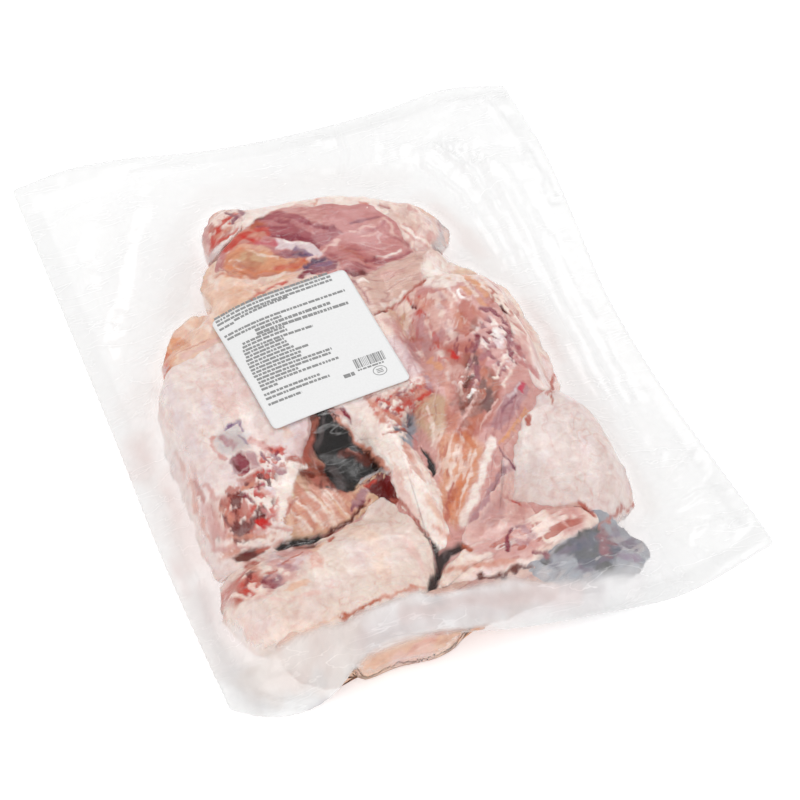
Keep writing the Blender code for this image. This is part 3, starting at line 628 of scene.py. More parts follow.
# Strokes by their place on the plan: (colour, half width, softness, strength, path).
MARKS = [
    # Joint end and rim of fat.
    ("pink", 1.2, 1.4, 0.8, [(-82, 124), (-82, 142), (-74, 160), (-62, 176)]),
    ("hot_pink", 1.0, 1.2, 0.6, [(-78, 148), (-72, 162)]),
    ("red", 1.6, 1.4, 0.85, [(-82, 124), (-76, 130), (-70, 138), (-58, 144)]),
    ("red", 1.2, 1.2, 0.8, [(-82, 123), (-70, 123), (-58, 127)]),
    ("salmon", 1.8, 1.6, 0.8, [(-76, 128), (-66, 130)]),
    ("plum", 1.6, 1.4, 0.8, [(-62, 150), (-58, 140), (-62, 135)]),
    ("plum", 2.2, 1.8, 0.75, [(-46, 172), (-49, 154), (-53, 140)]),
    ("cream", 1.6, 1.4, 0.8, [(-56, 176), (-62, 158), (-68, 146)]),
    ("cream", 1.2, 1.2, 0.8, [(-74, 140), (-68, 152), (-60, 166)]),
    ("wine", 1.0, 1.2, 0.7, [(-28, 152), (-18, 154), (-6, 152)]),
    ("mauve", 2.4, 2, 0.7, [(-22, 150), (-12, 148), (-4, 147)]),
    ("hot_pink", 2.0, 1.6, 0.8, [(48, 152), (49, 146)]),
    ("red", 1.8, 1.5, 0.85, [(38, 137), (42, 134)]),
    ("maroon", 2.0, 2, 0.7, [(57, 142), (60, 134)]),
    ("red", 1.8, 1.4, 0.85, [(32, 120), (37, 117)]),
    ("maroon", 1.8, 1.6, 0.75, [(44, 112), (50, 110)]),
    ("blush", 2.2, 2.2, 0.6, [(6, 140), (2, 128)]),
    ("salmon", 0.9, 1.1, 0.6, [(-2, 148), (4, 134), (0, 126)]),
    ("peach", 2.4, 2.4, 0.6, [(82, 128), (90, 116)]),
    # Thigh.
    ("bone", 1.4, 1.2, 0.9, [(-82, 117), (-66, 122), (-50, 129), (-38, 133), (-16, 135)]),
    ("red", 2.8, 2, 0.85, [(-74, 112), (-64, 116), (-54, 118)]),
    ("scarlet", 1.6, 1.6, 0.75, [(-60, 117), (-55, 112)]),
    ("red", 2.2, 2, 0.8, [(-50, 122), (-43, 117), (-42, 112)]),
    ("hot_pink", 2.0, 1.8, 0.55, [(-54, 108), (-46, 105), (-42, 102)]),
    ("rust", 1.6, 1.6, 0.7, [(-52, 124), (-46, 127), (-42, 122)]),
    ("peach", 1.6, 1.6, 0.7, [(-64, 108), (-54, 104), (-48, 98)]),
    ("orange", 2.0, 1.8, 0.7, [(-82, 92), (-70, 84), (-52, 78), (-38, 76), (-28, 78)]),
    ("orange", 1.6, 1.6, 0.6, [(-80, 100), (-76, 92), (-66, 86)]),
    ("red", 2.0, 1.8, 0.6, [(-48, 82), (-36, 78), (-27, 80)]),
    ("cream", 0.9, 1.0, 0.6, [(-62, 104), (-52, 96), (-44, 90)]),
    ("wine", 2.6, 2, 0.8, [(-38, 109), (-30, 105), (-24, 101)]),
    ("wine", 1.6, 1.6, 0.7, [(-22, 100), (-16, 94), (-13, 88)]),
    ("wine", 1.8, 1.8, 0.6, [(-10, 108), (-4, 104), (4, 100)]),
    ("wine", 2.2, 2, 0.5, [(-30, 122), (-20, 114)]),
    ("clot", 1.2, 1.2, 0.5, [(-46, 129), (-36, 131)]),
    ("pink", 1.8, 1.6, 0.6, [(-22, 118), (-16, 108), (-12, 100)]),
    ("white", 1.0, 1.0, 0.8, [(-33, 102), (-27, 96), (-20, 92)]),
    ("purple", 1.6, 1.5, 0.8, [(-28, 92), (-22, 86), (-20, 80)]),
    ("bruise", 1.6, 1.5, 0.9, [(-32, 88), (-24, 84)]),
    ("bruise", 2.2, 1.8, 0.9, [(-27, 73), (-20, 76), (-13, 75)]),
    ("purple", 2.6, 2.2, 0.7, [(-20, 70), (-12, 68)]),
    ("wine", 2.0, 1.8, 0.85, [(-36, 62), (-30, 66)]),
    ("wine", 1.0, 1.2, 0.7, [(-28, 61), (-16, 60)]),
    ("blush", 1.0, 1.0, 0.9, [(-26, 79), (-15, 80), (-8, 84), (4, 88)]),
    ("lilac_skin", 1.6, 1.4, 0.85, [(-16, 84), (-14, 80)]),
    ("brick", 2.4, 2, 0.6, [(2, 82), (8, 74), (14, 64)]),
    ("wine", 1.6, 1.4, 0.8, [(14, 64), (22, 66), (24, 61)]),
    ("clot", 1.4, 1.4, 0.7, [(-4, 53), (4, 50), (10, 52)]),
    ("blush", 0.8, 0.9, 0.7, [(-6, 64), (-8, 56)]),
    ("blush", 0.9, 1.0, 0.8, [(14, 93), (20, 91), (26, 95), (34, 92)]),
    ("blush", 1.0, 1.0, 0.8, [(20, 86), (26, 84), (34, 86)]),
    ("rose", 2.4, 2, 0.8, [(32, 96), (41, 97)]),
    ("maroon", 1.4, 1.4, 0.6, [(26, 90), (36, 90), (42, 95)]),
    ("blush", 1.0, 1.0, 0.85, [(41, 100), (46, 92), (44, 82), (50, 72)]),
    ("maroon", 1.8, 1.8, 0.65, [(44, 80), (52, 72)]),
    ("maroon", 1.6, 1.5, 0.75, [(22, 61), (36, 62), (50, 64)]),
    ("bone", 1.0, 1.0, 0.8, [(24, 66), (34, 65), (44, 68)]),
    ("plum", 1.3, 1.3, 0.6, [(18, 100), (28, 102), (38, 101)]),
    # Shoulder skin and its strands.
    ("putty", 3, 3, 0.7, [(56, 100), (62, 90), (60, 80)]),
    ("rose", 1.0, 1.1, 0.8, [(52, 88), (58, 78), (66, 69)]),
    ("rose", 1.0, 1.1, 0.7, [(56, 92), (63, 80), (71, 70)]),
    ("bone", 1.2, 1.1, 0.85, [(54, 90), (60, 79), (68, 70)]),
    ("peach", 2.4, 2.4, 0.5, [(80, 124), (86, 106), (82, 92)]),
    ("cream", 2, 2, 0.6, [(66, 128), (74, 108), (72, 92)]),
    ("ash", 2.2, 1.8, 0.9, [(96, 112), (92, 102), (87, 92), (81, 80), (72, 70)]),
    ("mauve", 1.2, 1.2, 0.7, [(94, 112), (89, 98)]),
    # Drumstick and wing.
    ("cream", 1.4, 1.3, 0.8, [(-92, 104), (-90, 92), (-94, 80)]),
    ("salmon", 0.9, 1.0, 0.8, [(-88, 100), (-80, 90), (-66, 82), (-50, 76)]),
    ("cream", 1.3, 1.2, 0.85, [(-70, 80), (-56, 75), (-44, 74)]),
    ("salmon", 2.2, 1.8, 0.6, [(-72, 68), (-68, 58)]),
    ("cream", 1.4, 1.4, 0.7, [(-74, 72), (-72, 60)]),
    ("red", 1.2, 1.3, 0.7, [(-76, 55), (-60, 59), (-48, 60)]),
    ("orange", 2.6, 2, 0.95, [(-149, 28), (-148, 38), (-142, 52)]),
    ("red", 1.2, 1.2, 0.7, [(-149, 28), (-148, 36)]),
    ("salmon", 0.8, 1.0, 0.9, [(-142, 34), (-128, 38), (-116, 38), (-106, 32)]),
    ("blush", 3, 2.4, 0.7, [(-136, 28), (-122, 32), (-110, 34)]),
    ("cream", 1.8, 1.6, 0.8, [(-122, 74), (-116, 62), (-112, 46)]),
    ("blush", 1.0, 1.2, 0.8, [(-104, 72), (-108, 60), (-110, 44)]),
    # Fillet edge, fat and hip.
    ("brick", 1.0, 1.0, 0.9, [(0, 10), (10, 13), (20, 21), (34, 26), (48, 32)]),
    ("umber", 0.7, 0.8, 0.8, [(-1, 9.5), (9, 12.5)]),
    ("bone", 1.2, 1.2, 0.8, [(10, 17), (22, 24), (32, 28)]),
    ("maroon", 1.2, 1.2, 0.7, [(-2, 44), (0, 30), (0, 20)]),
    ("bone", 1.1, 1.1, 0.85, [(1, 43), (6, 44), (9, 41)]),
    ("rose", 3, 3, 0.5, [(20, 46), (36, 48)]),
    ("rose", 1.4, 1.4, 0.6, [(46, 34), (49, 40)]),
    ("white", 2.4, 2, 0.7, [(58, 36), (66, 50)]),
    ("peach", 2.4, 2.4, 0.6, [(84, 44), (92, 52)]),
    ("blush", 1.8, 1.8, 0.6, [(74, 40), (78, 56)]),
    ("cream", 1.4, 1.3, 0.8, [(80, 22), (84, 34), (90, 32), (88, 20)]),
    ("clot", 1.2, 0.9, 0.97, [(32, 14), (33, 10)]),
    ("red", 0.8, 0.9, 0.85, [(30, 24), (31, 16)]),
    ("red", 0.7, 0.9, 0.8, [(33, 8), (35, 0)]),
    ("salmon", 2.2, 2.2, 0.6, [(37, 16), (38, 6)]),
    ("mauve", 2, 2, 0.5, [(52, 18), (54, 6)]),
    ("bone", 1.2, 1.1, 0.85, [(59, 20), (61, 2)]),
    ("white", 1.2, 0.9, 0.97, [(66, 12), (64, 6), (67, 0)]),
    ("apricot", 2.4, 2, 0.85, [(78, 22), (81, 10), (84, 2)]),
    ("apricot", 2.0, 1.8, 0.75, [(77, 0), (79, -8)]),
    ("cream", 1.6, 1.5, 0.8, [(72, 26), (76, 4)]),
    ("brick", 3.0, 2, 0.85, [(66, -1), (64, -10), (66, -20)]),
    ("brown", 2.2, 1.8, 0.7, [(68, -18), (62, -25)]),
    ("salmon", 1.6, 1.5, 0.8, [(57, -10), (54, -20)]),
    ("brick", 1.8, 1.6, 0.75, [(50, -22), (56, -27)]),
    ("brick", 1.1, 1.2, 0.7, [(20, -12), (24, -16), (32, -20), (36, -28)]),
    ("wine", 1.6, 1.1, 0.97, [(74, -10), (80, -14), (84, -22), (86, -32), (83, -42), (79, -52), (77, -58)]),
    ("brick", 1.2, 1.1, 0.8, [(80, -10), (86, -3), (90, 4)]),
    ("clot", 1.4, 1.0, 0.97, [(89, -11), (90, -19)]),
    ("white", 1.8, 1.5, 0.85, [(74, -35), (77, -43)]),
    ("rose", 1.6, 1.4, 0.8, [(66, -30), (78, -29)]),
    ("wine", 2.0, 1.5, 0.92, [(62, -34), (58, -40), (54, -46)]),
    ("maroon", 1.8, 1.4, 0.85, [(69, -44), (64, -50), (56, -54)]),
    ("clot", 1.5, 1.2, 0.92, [(54, -48), (51, -56), (48, -62)]),
    ("wine", 2.6, 1.8, 0.85, [(50, -60), (46, -68), (41, -74)]),
    ("umber", 1.6, 1.3, 0.92, [(42, -67), (37, -74)]),
    ("rust", 3.0, 1.8, 0.92, [(53, -66), (53, -78)]),
    ("umber", 2.6, 1.8, 0.9, [(51, -82), (46, -90), (42, -97)]),
    ("clot", 1.5, 1.4, 0.8, [(48, -84), (43, -92)]),
    ("brown", 3, 2.4, 0.8, [(40, -84), (33, -96), (24, -104)]),
    ("rust", 3.0, 2, 0.9, [(30, -102), (22, -113)]),
    ("orange", 2.2, 2, 0.75, [(20, -112), (22, -122)]),
    ("umber", 1.4, 1.3, 0.7, [(30, -86), (24, -95)]),
    ("salmon", 2.6, 2.2, 0.75, [(20, -94), (12, -106)]),
    ("blush", 0.9, 1.0, 0.7, [(44, -72), (36, -88), (24, -100)]),
    ("blush", 0.8, 0.9, 0.7, [(52, -92), (40, -103), (30, -112)]),
    # Painted highlights: a small white glint of the film and a cream one beside it.
    ("white", 1.5, 0.8, 1.0, [(36, -81), (39, -79)]),
    ("cream", 1.2, 1.1, 0.85, [(34, -70), (31, -77)]),
    ("red", 2.2, 1.6, 0.9, [(39, -38), (42, -47)]),
    ("scarlet", 1.2, 1.2, 0.8, [(40, -40), (41, -46)]),
    ("red", 1.2, 1.2, 0.6, [(32, -42), (36, -44)]),
    ("apricot", 2.4, 2, 0.7, [(24, -38), (26, -50)]),
    ("mauve", 2.4, 2.4, 0.5, [(16, -20), (15, -40)]),
    ("cream", 1.2, 1.2, 0.85, [(58, -74), (66, -66), (72, -58)]),
    ("cream", 1.1, 1.1, 0.85, [(60, -82), (68, -76), (76, -68)]),
    ("pink", 1.5, 1.3, 0.85, [(58, -60), (66, -58), (74, -54)]),
    ("maroon", 1.2, 1.2, 0.7, [(62, -72), (70, -64)]),
    ("maroon", 2.0, 1.6, 0.8, [(84, -48), (86, -60)]),
    ("pink", 2.6, 1.8, 0.9, [(80, -61), (85, -69), (90, -72)]),
    ("hot_pink", 1.8, 1.2, 0.97, [(77, -82), (73, -87)]),
    ("plum", 1.2, 1.3, 0.65, [(66, -90), (52, -102)]),
    ("lilac_skin", 1.0, 1.0, 0.7, [(74, -82), (60, -92)]),
    ("apricot", 1.0, 1.0, 0.85, [(70, -102), (52, -117), (40, -127)]),
    ("brick", 1.3, 1.1, 0.85, [(69, -107), (66, -115)]),
    ("brick", 1.3, 1.2, 0.75, [(112, 6), (102, -10), (92, -21)]),
    ("salmon", 2.4, 2.4, 0.5, [(106, 4), (98, -8)]),
    ("brick", 1.1, 1.0, 0.88, [(114, -55), (107, -66), (98, -82), (91, -93)]),
    ("brick", 0.8, 0.9, 0.75, [(104, -78), (94, -93), (88, -104)]),
    ("rose", 3.5, 3, 0.55, [(92, -24), (96, -40), (90, -56)]),
    ("rose", 2.0, 2.2, 0.5, [(110, -18), (104, -40), (96, -60)]),
    ("cream", 1.2, 1.2, 0.8, [(102, -12), (98, -36), (93, -62)]),
    ("cream", 1.2, 1.2, 0.8, [(112, -12), (109, -34), (102, -60)]),
    # Skirt membrane and the strip down the middle.
    ("orange", 3.4, 2.8, 0.65, [(0, -148), (-8, -158), (-14, -168)]),
    ("rust", 1.6, 1.6, 0.6, [(-4, -150), (-12, -160)]),
    ("orange", 2.2, 2, 0.65, [(12, -112), (16, -122), (12, -130)]),
    ("cream", 1.3, 1.3, 0.75, [(8, -124), (-2, -138), (-8, -148)]),
    ("cream", 1.1, 1.2, 0.75, [(20, -130), (8, -146), (-2, -158)]),
    ("brick", 0.9, 1.0, 0.8, [(-4, -146), (-14, -160), (-18, -174)]),
    ("bone", 2.6, 2, 0.92, [(36, -122), (22, -142), (6, -161), (-6, -172)]),
    ("mauve", 1.8, 1.3, 0.92, [(43, -143), (31, -149), (20, -158), (8, -167), (0, -173)]),
    ("plum", 1.0, 0.9, 0.9, [(38, -131), (39, -138), (43, -144)]),
    ("rose", 0.9, 0.9, 0.85, [(24, -160), (31, -160), (37, -166), (43, -178), (52, -186)]),
    ("red", 0.8, 0.8, 0.85, [(34, -162), (38, -168)]),
    ("rose", 1.0, 1.0, 0.7, [(38, -168), (36, -180), (32, -188)]),
    ("mauve", 2.2, 1.8, 0.85, [(14, -57), (12, -66)]),
    ("maroon", 1.3, 1.2, 0.85, [(10, -64), (13, -70)]),
    ("red", 1.0, 0.9, 0.95, [(-14, -73), (-6, -68), (4, -71), (12, -67)]),
    ("brick", 0.9, 0.9, 0.85, [(-12, -67), (-2, -66)]),
    ("red", 0.8, 0.9, 0.75, [(-32, -66), (-22, -74), (-17, -84)]),
    ("red", 0.8, 0.9, 0.7, [(-26, -62), (-16, -72)]),
    ("brick", 1.1, 1.1, 0.85, [(-33, -92), (-22, -91), (-13, -86)]),
    ("salmon", 2.6, 2.2, 0.75, [(-30, -62), (-28, -78)]),
    ("salmon", 2.0, 2, 0.7, [(-22, -76), (-16, -82)]),
    ("steel", 2.4, 1.6, 0.95, [(-6, -78), (-12, -90), (-18, -102)]),
    ("slate", 1.0, 1.0, 0.8, [(-7, -75), (-10, -82)]),
    ("slate", 1.1, 1.1, 0.8, [(-22, -89), (-14, -89), (-12, -96)]),
    ("steel", 1.4, 1.3, 0.85, [(-22, -96), (-16, -108)]),
    ("pink", 1.2, 1.1, 0.9, [(-9, -94), (-16, -108)]),
    ("rose", 0.9, 0.9, 0.85, [(-7, -96), (-13, -110)]),
    ("cream", 1.1, 1.1, 0.8, [(6, -80), (2, -96), (-3, -110)]),
    ("cream", 2.4, 1.8, 0.85, [(-18, -112), (-17, -130), (-18, -150)]),
    ("bone", 4, 3, 0.8, [(-34, -100), (-31, -130), (-28, -160)]),
    ("blush", 2.4, 2, 0.7, [(-38, -110), (-38, -140), (-34, -162)]),
    ("salmon", 1.4, 1.4, 0.6, [(-24, -106), (-25, -124)]),
    ("peach_skin", 2, 2, 0.7, [(-24, -150), (-24, -172)]),
    ("salmon", 1.8, 1.6, 0.75, [(-28, -174), (-22, -184)]),
    # Left side.
    ("lilac_skin", 3, 3, 0.8, [(-136, -20), (-140, -36)]),
    ("blush", 6, 6, 0.5, [(-128, -10), (-122, -34)]),
    ("blush", 5, 5, 0.4, [(-116, 16), (-110, -20)]),
    ("lilac_skin", 4, 4, 0.6, [(-156, 8), (-158, -30), (-154, -60)]),
    ("purple", 1.4, 1.2, 0.92, [(-131, -48), (-127, -45), (-122, -46), (-120, -53)]),
    ("mauve", 2.4, 2, 0.85, [(-136, -54), (-132, -63)]),
    ("purple", 1.2, 1.4, 0.5, [(-126, -58), (-122, -66)]),
    ("rose", 1.4, 1.3, 0.8, [(-143, -53), (-144, -64), (-140, -71)]),
    ("clot", 1.4, 1.4, 0.7, [(-136, -76), (-134, -84)]),
    ("pink", 0.9, 0.9, 0.85, [(-136, -88), (-130, -89)]),
    ("salmon", 1.8, 1.4, 0.9, [(-137, -98), (-130, -98)]),
    ("red", 1.2, 1.2, 0.8, [(-126, -93), (-121, -90)]),
    ("clot", 1.7, 1.0, 0.95, [(-123, -92), (-122, -96)]),
    ("red", 2.0, 1.5, 0.9, [(-111, -75), (-106, -78), (-101, -77)]),
    ("clot", 1.3, 0.9, 0.95, [(-111, -74), (-109, -76)]),
    ("wine", 1.0, 0.9, 0.85, [(-106, -80), (-104, -78)]),
    ("rose", 2.4, 2, 0.8, [(-119, -64), (-114, -70), (-112, -74)]),
    ("plum", 1.1, 1.0, 0.85, [(-116, -77), (-113, -84)]),
    ("plum", 1.2, 1.0, 0.85, [(-109, -80), (-106, -84)]),
    ("mauve", 1.8, 1.5, 0.85, [(-111, -87), (-108, -95)]),
    ("hot_pink", 1.1, 1.1, 0.75, [(-129, -103), (-124, -100)]),
    ("blush", 3, 2.4, 0.85, [(-124, -104), (-120, -109)]),
    ("lilac_skin", 1.8, 1.5, 0.85, [(-121, -104), (-119, -108)]),
    ("red", 1.0, 1.0, 0.7, [(-118, -92), (-116, -99)]),
    ("wine", 1.2, 1.0, 0.85, [(-137, -104), (-135, -112)]),
    ("clot", 0.9, 0.9, 0.85, [(-147, -108), (-145, -118)]),
    ("clot", 1.0, 1.0, 0.8, [(-156, -110), (-152, -120), (-148, -121)]),
    ("salmon", 1.2, 1.1, 0.7, [(-156, -104), (-152, -114)]),
    ("scarlet", 2.0, 1.3, 0.95, [(-135, -124), (-131, -129)]),
    ("clot", 1.2, 1.0, 0.85, [(-135, -121), (-132, -122)]),
    ("pink", 1.8, 1.5, 0.85, [(-130, -119), (-126, -125)]),
    ("brick", 1.5, 1.2, 0.9, [(-165, -76), (-164, -92)]),
    ("salmon", 1.1, 1.2, 0.8, [(-167, -72), (-169, -98), (-168, -118)]),
    ("rose", 1.2, 1.2, 0.8, [(-160, -84), (-156, -98)]),
    ("rose", 1.8, 1.6, 0.8, [(-163, -98), (-164, -110), (-159, -121)]),
    ("salmon", 0.8, 0.9, 0.8, [(-168, -42), (-167, -62)]),
    ("blush", 0.9, 1.0, 0.8, [(-164, 12), (-166, -24)]),
    ("rose", 1.3, 1.3, 0.8, [(-168, -121), (-160, -130), (-146, -134)]),
    ("salmon", 1.1, 1.1, 0.8, [(-157, -123), (-142, -130), (-128, -136)]),
    ("rose", 1.0, 1.0, 0.8, [(-140, -128), (-126, -132), (-116, -137)]),
    ("bone", 1.4, 1.3, 0.85, [(-152, -131), (-134, -135), (-119, -139)]),
    ("bone", 3.0, 2.2, 0.9, [(-116, -118), (-107, -106), (-98, -93), (-90, -88)]),
    ("brick", 2.0, 1.8, 0.8, [(-98, -86), (-90, -87), (-84, -81), (-79, -75)]),
    ("umber", 1.6, 1.8, 0.75, [(-79, -92), (-78, -104), (-79, -114)]),
    ("dark", 1.1, 1.0, 0.9, [(-83, -114), (-82, -118)]),
    ("salmon", 2.2, 1.8, 0.7, [(-110, -117), (-100, -139)]),
    ("salmon", 2.0, 1.7, 0.7, [(-101, -112), (-91, -140)]),
    ("salmon", 2.0, 1.7, 0.7, [(-92, -110), (-82, -140)]),
    ("salmon", 2.2, 1.8, 0.7, [(-84, -116), (-74, -136)]),
    ("salmon", 2.0, 1.8, 0.6, [(-76, -120), (-68, -132)]),
    ("cream", 0.9, 0.9, 0.8, [(-114, -120), (-104, -140)]),
    ("cream", 0.9, 0.9, 0.8, [(-106, -116), (-96, -141)]),
    ("cream", 0.9, 0.9, 0.8, [(-96, -114), (-86, -142)]),
    ("cream", 0.8, 0.9, 0.7, [(-86, -116), (-76, -138)]),
    ("brick", 1.1, 1.0, 0.8, [(-118, -130), (-112, -121), (-106, -117)]),
    ("mauve", 2.2, 1.7, 0.9, [(-69, -132), (-60, -124), (-53, -118)]),
    ("plum", 1.0, 1.0, 0.7, [(-72, -134), (-62, -128)]),
    ("rose", 2.2, 1.8, 0.85, [(-57, -61), (-50, -68)]),
    ("wine", 1.0, 0.9, 0.9, [(-52, -62), (-50, -71)]),
    # Front skin.
    ("rose", 2.4, 2.4, 0.7, [(-128, -148), (-122, -156)]),
    ("umber", 2.4, 1.8, 0.9, [(-109, -149), (-106, -158)]),
    ("brown", 3.0, 3, 0.7, [(-118, -148), (-112, -152)]),
    ("ash", 2.4, 2.4, 0.6, [(-132, -152), (-130, -160)]),
    ("brick", 1.2, 1.1, 0.88, [(-136, -167), (-128, -163), (-118, -161)]),
    ("brick", 1.5, 1.2, 0.85, [(-97, -158), (-93, -152)]),
    ("peach", 2, 2, 0.6, [(-110, -162), (-102, -156)]),
    ("wine", 1.8, 1.6, 0.7, [(-149, -175), (-146, -181)]),
    ("mauve", 2.2, 2, 0.8, [(-136, -168), (-127, -173)]),
    ("brick", 1.0, 1.0, 0.8, [(-152, -172), (-146, -168), (-140, -170)]),
    ("brick", 1.6, 1.3, 0.9, [(-166, -162), (-169, -176)]),
    ("salmon", 1.5, 1.4, 0.8, [(-163, -164), (-165, -171)]),
    ("red", 1.2, 1.0, 0.9, [(-162, -176), (-160, -181)]),
    ("rose", 2.0, 1.8, 0.8, [(-176, -152), (-178, -170)]),
    ("rose", 1.6, 1.5, 0.8, [(-171, -155), (-174, -178)]),
    ("salmon", 2.2, 2, 0.75, [(-152, -150), (-150, -164)]),
    ("brick", 2.6, 2, 0.85, [(-151, -143), (-148, -152)]),
    ("rose", 1.6, 1.6, 0.7, [(-144, -143), (-142, -152)]),
    ("salmon", 0.8, 0.9, 0.75, [(-180, -158), (-179, -190), (-173, -207)]),
    ("blush", 1.2, 1.3, 0.6, [(-158, -186), (-140, -196), (-120, -198)]),
    ("blush", 0.7, 0.8, 0.6, [(-112, -196), (-107, -199), (-104, -195), (-109, -192), (-112, -196)]),
    ("rust", 0.9, 0.9, 0.9, [(-112, -218), (-100, -215.5), (-84, -214)]),
    ("salmon", 0.8, 0.9, 0.85, [(-84, -214), (-66, -213), (-50, -210)]),
    ("peach", 0.8, 1.0, 0.6, [(-162, -214), (-136, -217), (-114, -218)]),
    ("blush", 3, 3, 0.6, [(-50, -176), (-47, -200)]),
    ("peach_skin", 6, 6, 0.5, [(-80, -150), (-70, -170), (-76, -196)]),
    ("brick", 4, 2.6, 0.8, [(-168, -166), (-169, -180)]),
    ("red", 2.0, 1.6, 0.8, [(-165, -168), (-164, -178)]),
    ("cream", 1.2, 1.1, 0.8, [(-172, -170), (-166, -182)]),
    ("clot", 1.0, 1.0, 0.7, [(-160, -166), (-163, -174)]),
    ("brown", 4.5, 4, 0.65, [(24, -87), (31, -77)]),
    ("umber", 1.4, 1.6, 0.6, [(26, -90), (30, -80)]),
    ("blush", 4, 4, 0.5, [(35, -56), (40, -62)]),
    # Lower right.
    ("rose", 5, 3, 0.85, [(20, -196), (28, -203)]),
    ("mauve", 2.4, 2, 0.8, [(18, -200), (26, -205), (32, -201)]),
    ("blush", 1.2, 1.2, 0.8, [(22, -197), (28, -200)]),
    ("salmon", 2.2, 2, 0.75, [(-30, -200), (-18, -206), (0, -210), (14, -214)]),
    ("bone", 1.6, 1.5, 0.8, [(-18, -200), (0, -204)]),
    ("wine", 1.2, 1.0, 0.95, [(21, -191), (16, -197), (12, -205)]),
    ("mauve", 2.2, 1.8, 0.8, [(28, -191), (32, -197)]),
    ("cream", 1.0, 1.0, 0.8, [(38, -186), (38, -200), (40, -208)]),
    ("rose", 2.0, 1.8, 0.8, [(63, -188), (68, -195)]),
    ("blush", 1.2, 1.1, 0.8, [(50, -190), (58, -202)]),
    ("brick", 1.2, 1.0, 0.92, [(72, -188), (76, -193), (80, -198)]),
    ("umber", 0.7, 0.8, 0.9, [(-12, -213.5), (8, -217), (24, -217)]),
    ("wine", 1.3, 1.0, 0.92, [(28, -213), (38, -215)]),
    ("dark", 1.0, 0.9, 0.92, [(34, -218), (50, -214), (62, -209.5), (80, -203)]),
    ("brick", 0.8, 0.9, 0.9, [(80, -203), (92, -198), (104, -192), (118, -184)]),
    ("navy", 4.5, 3, 0.9, [(58, -216), (70, -214), (76, -210)]),
    ("black", 2.4, 2.2, 0.85, [(58, -219), (70, -221), (75, -216)]),
    ("wine", 3.4, 2.6, 0.85, [(82, -207), (86, -213)]),
    ("navy", 2.4, 2, 0.85, [(76, -224), (88, -222)]),
    ("wine", 3.2, 2.6, 0.92, [(81, -210), (78, -222)]),
    ("steel", 3.0, 2.4, 0.85, [(42, -219), (52, -224)]),
    ("black", 2.2, 2.2, 0.8, [(68, -230), (76, -234)]),
    ("purple", 3.0, 2.4, 0.8, [(86, -230), (100, -228)]),
    ("slate", 3.2, 2.4, 0.7, [(-50, -219), (-40, -220)]),
    # Under the front fold.
    ("bone", 1.5, 1.6, 0.7, [(-90, -245), (-60, -246)]),
    ("apricot", 2, 2, 0.7, [(-36, -241), (-14, -241)]),
    ("brick", 2.4, 2, 0.9, [(-122, -246), (-100, -251), (-70, -252), (-40, -249)]),
    # Painted shadow in the fold at the front left corner.
    ("bruise", 3.5, 3, 0.8, [(-150, -242), (-140, -237), (-134, -237)]),
]

# Painted shade in the hollow and the gaps between pieces, and a dark clot, laid over everything else:
# (colour, softness, strength, outline).
HOLLOW_SHADE_AND_CLOT = [
    ("black", 2.0, 0.98, [
        (-79, -76), (-73, -70), (-69, -62), (-72, -56), (-61, -56), (-60, -68), (-54, -72), (-49, -79),
        (-46, -88), (-43, -100), (-41, -112), (-41, -120), (-47, -111), (-56, -111), (-62, -116),
        (-70, -122), (-77, -117), (-78, -100), (-76, -90), (-78, -82),
    ]),
    ("umber", 2.0, 0.96, [(-159, -136), (-150, -135), (-140, -138), (-138, -142), (-150, -143),
        (-158, -141)]),
    ("black", 1.6, 0.97, [
        (-131, -142), (-122, -140), (-110, -143), (-98, -144.5), (-96, -147), (-104, -148), (-118, -147),
        (-128, -144),
    ]),
    ("dark", 1.6, 0.97, [
        (-36, -176), (-33, -182), (-30, -188), (-22, -190), (-14, -187), (-11, -189), (-13, -193),
        (-20, -194), (-30, -196), (-36, -203), (-42, -211), (-49, -212), (-46, -206), (-38, -199),
        (-35, -191),
    ]),
    ("black", 1.4, 0.97, [(-11, -106), (-8, -112), (-8, -126), (-13, -136), (-14, -128), (-10, -118)]),
    ("clot", 1.3, 0.96, [(-56, -117), (-50, -115), (-45, -121), (-41, -134), (-43, -140), (-48, -132),
                         (-52, -124)]),
]

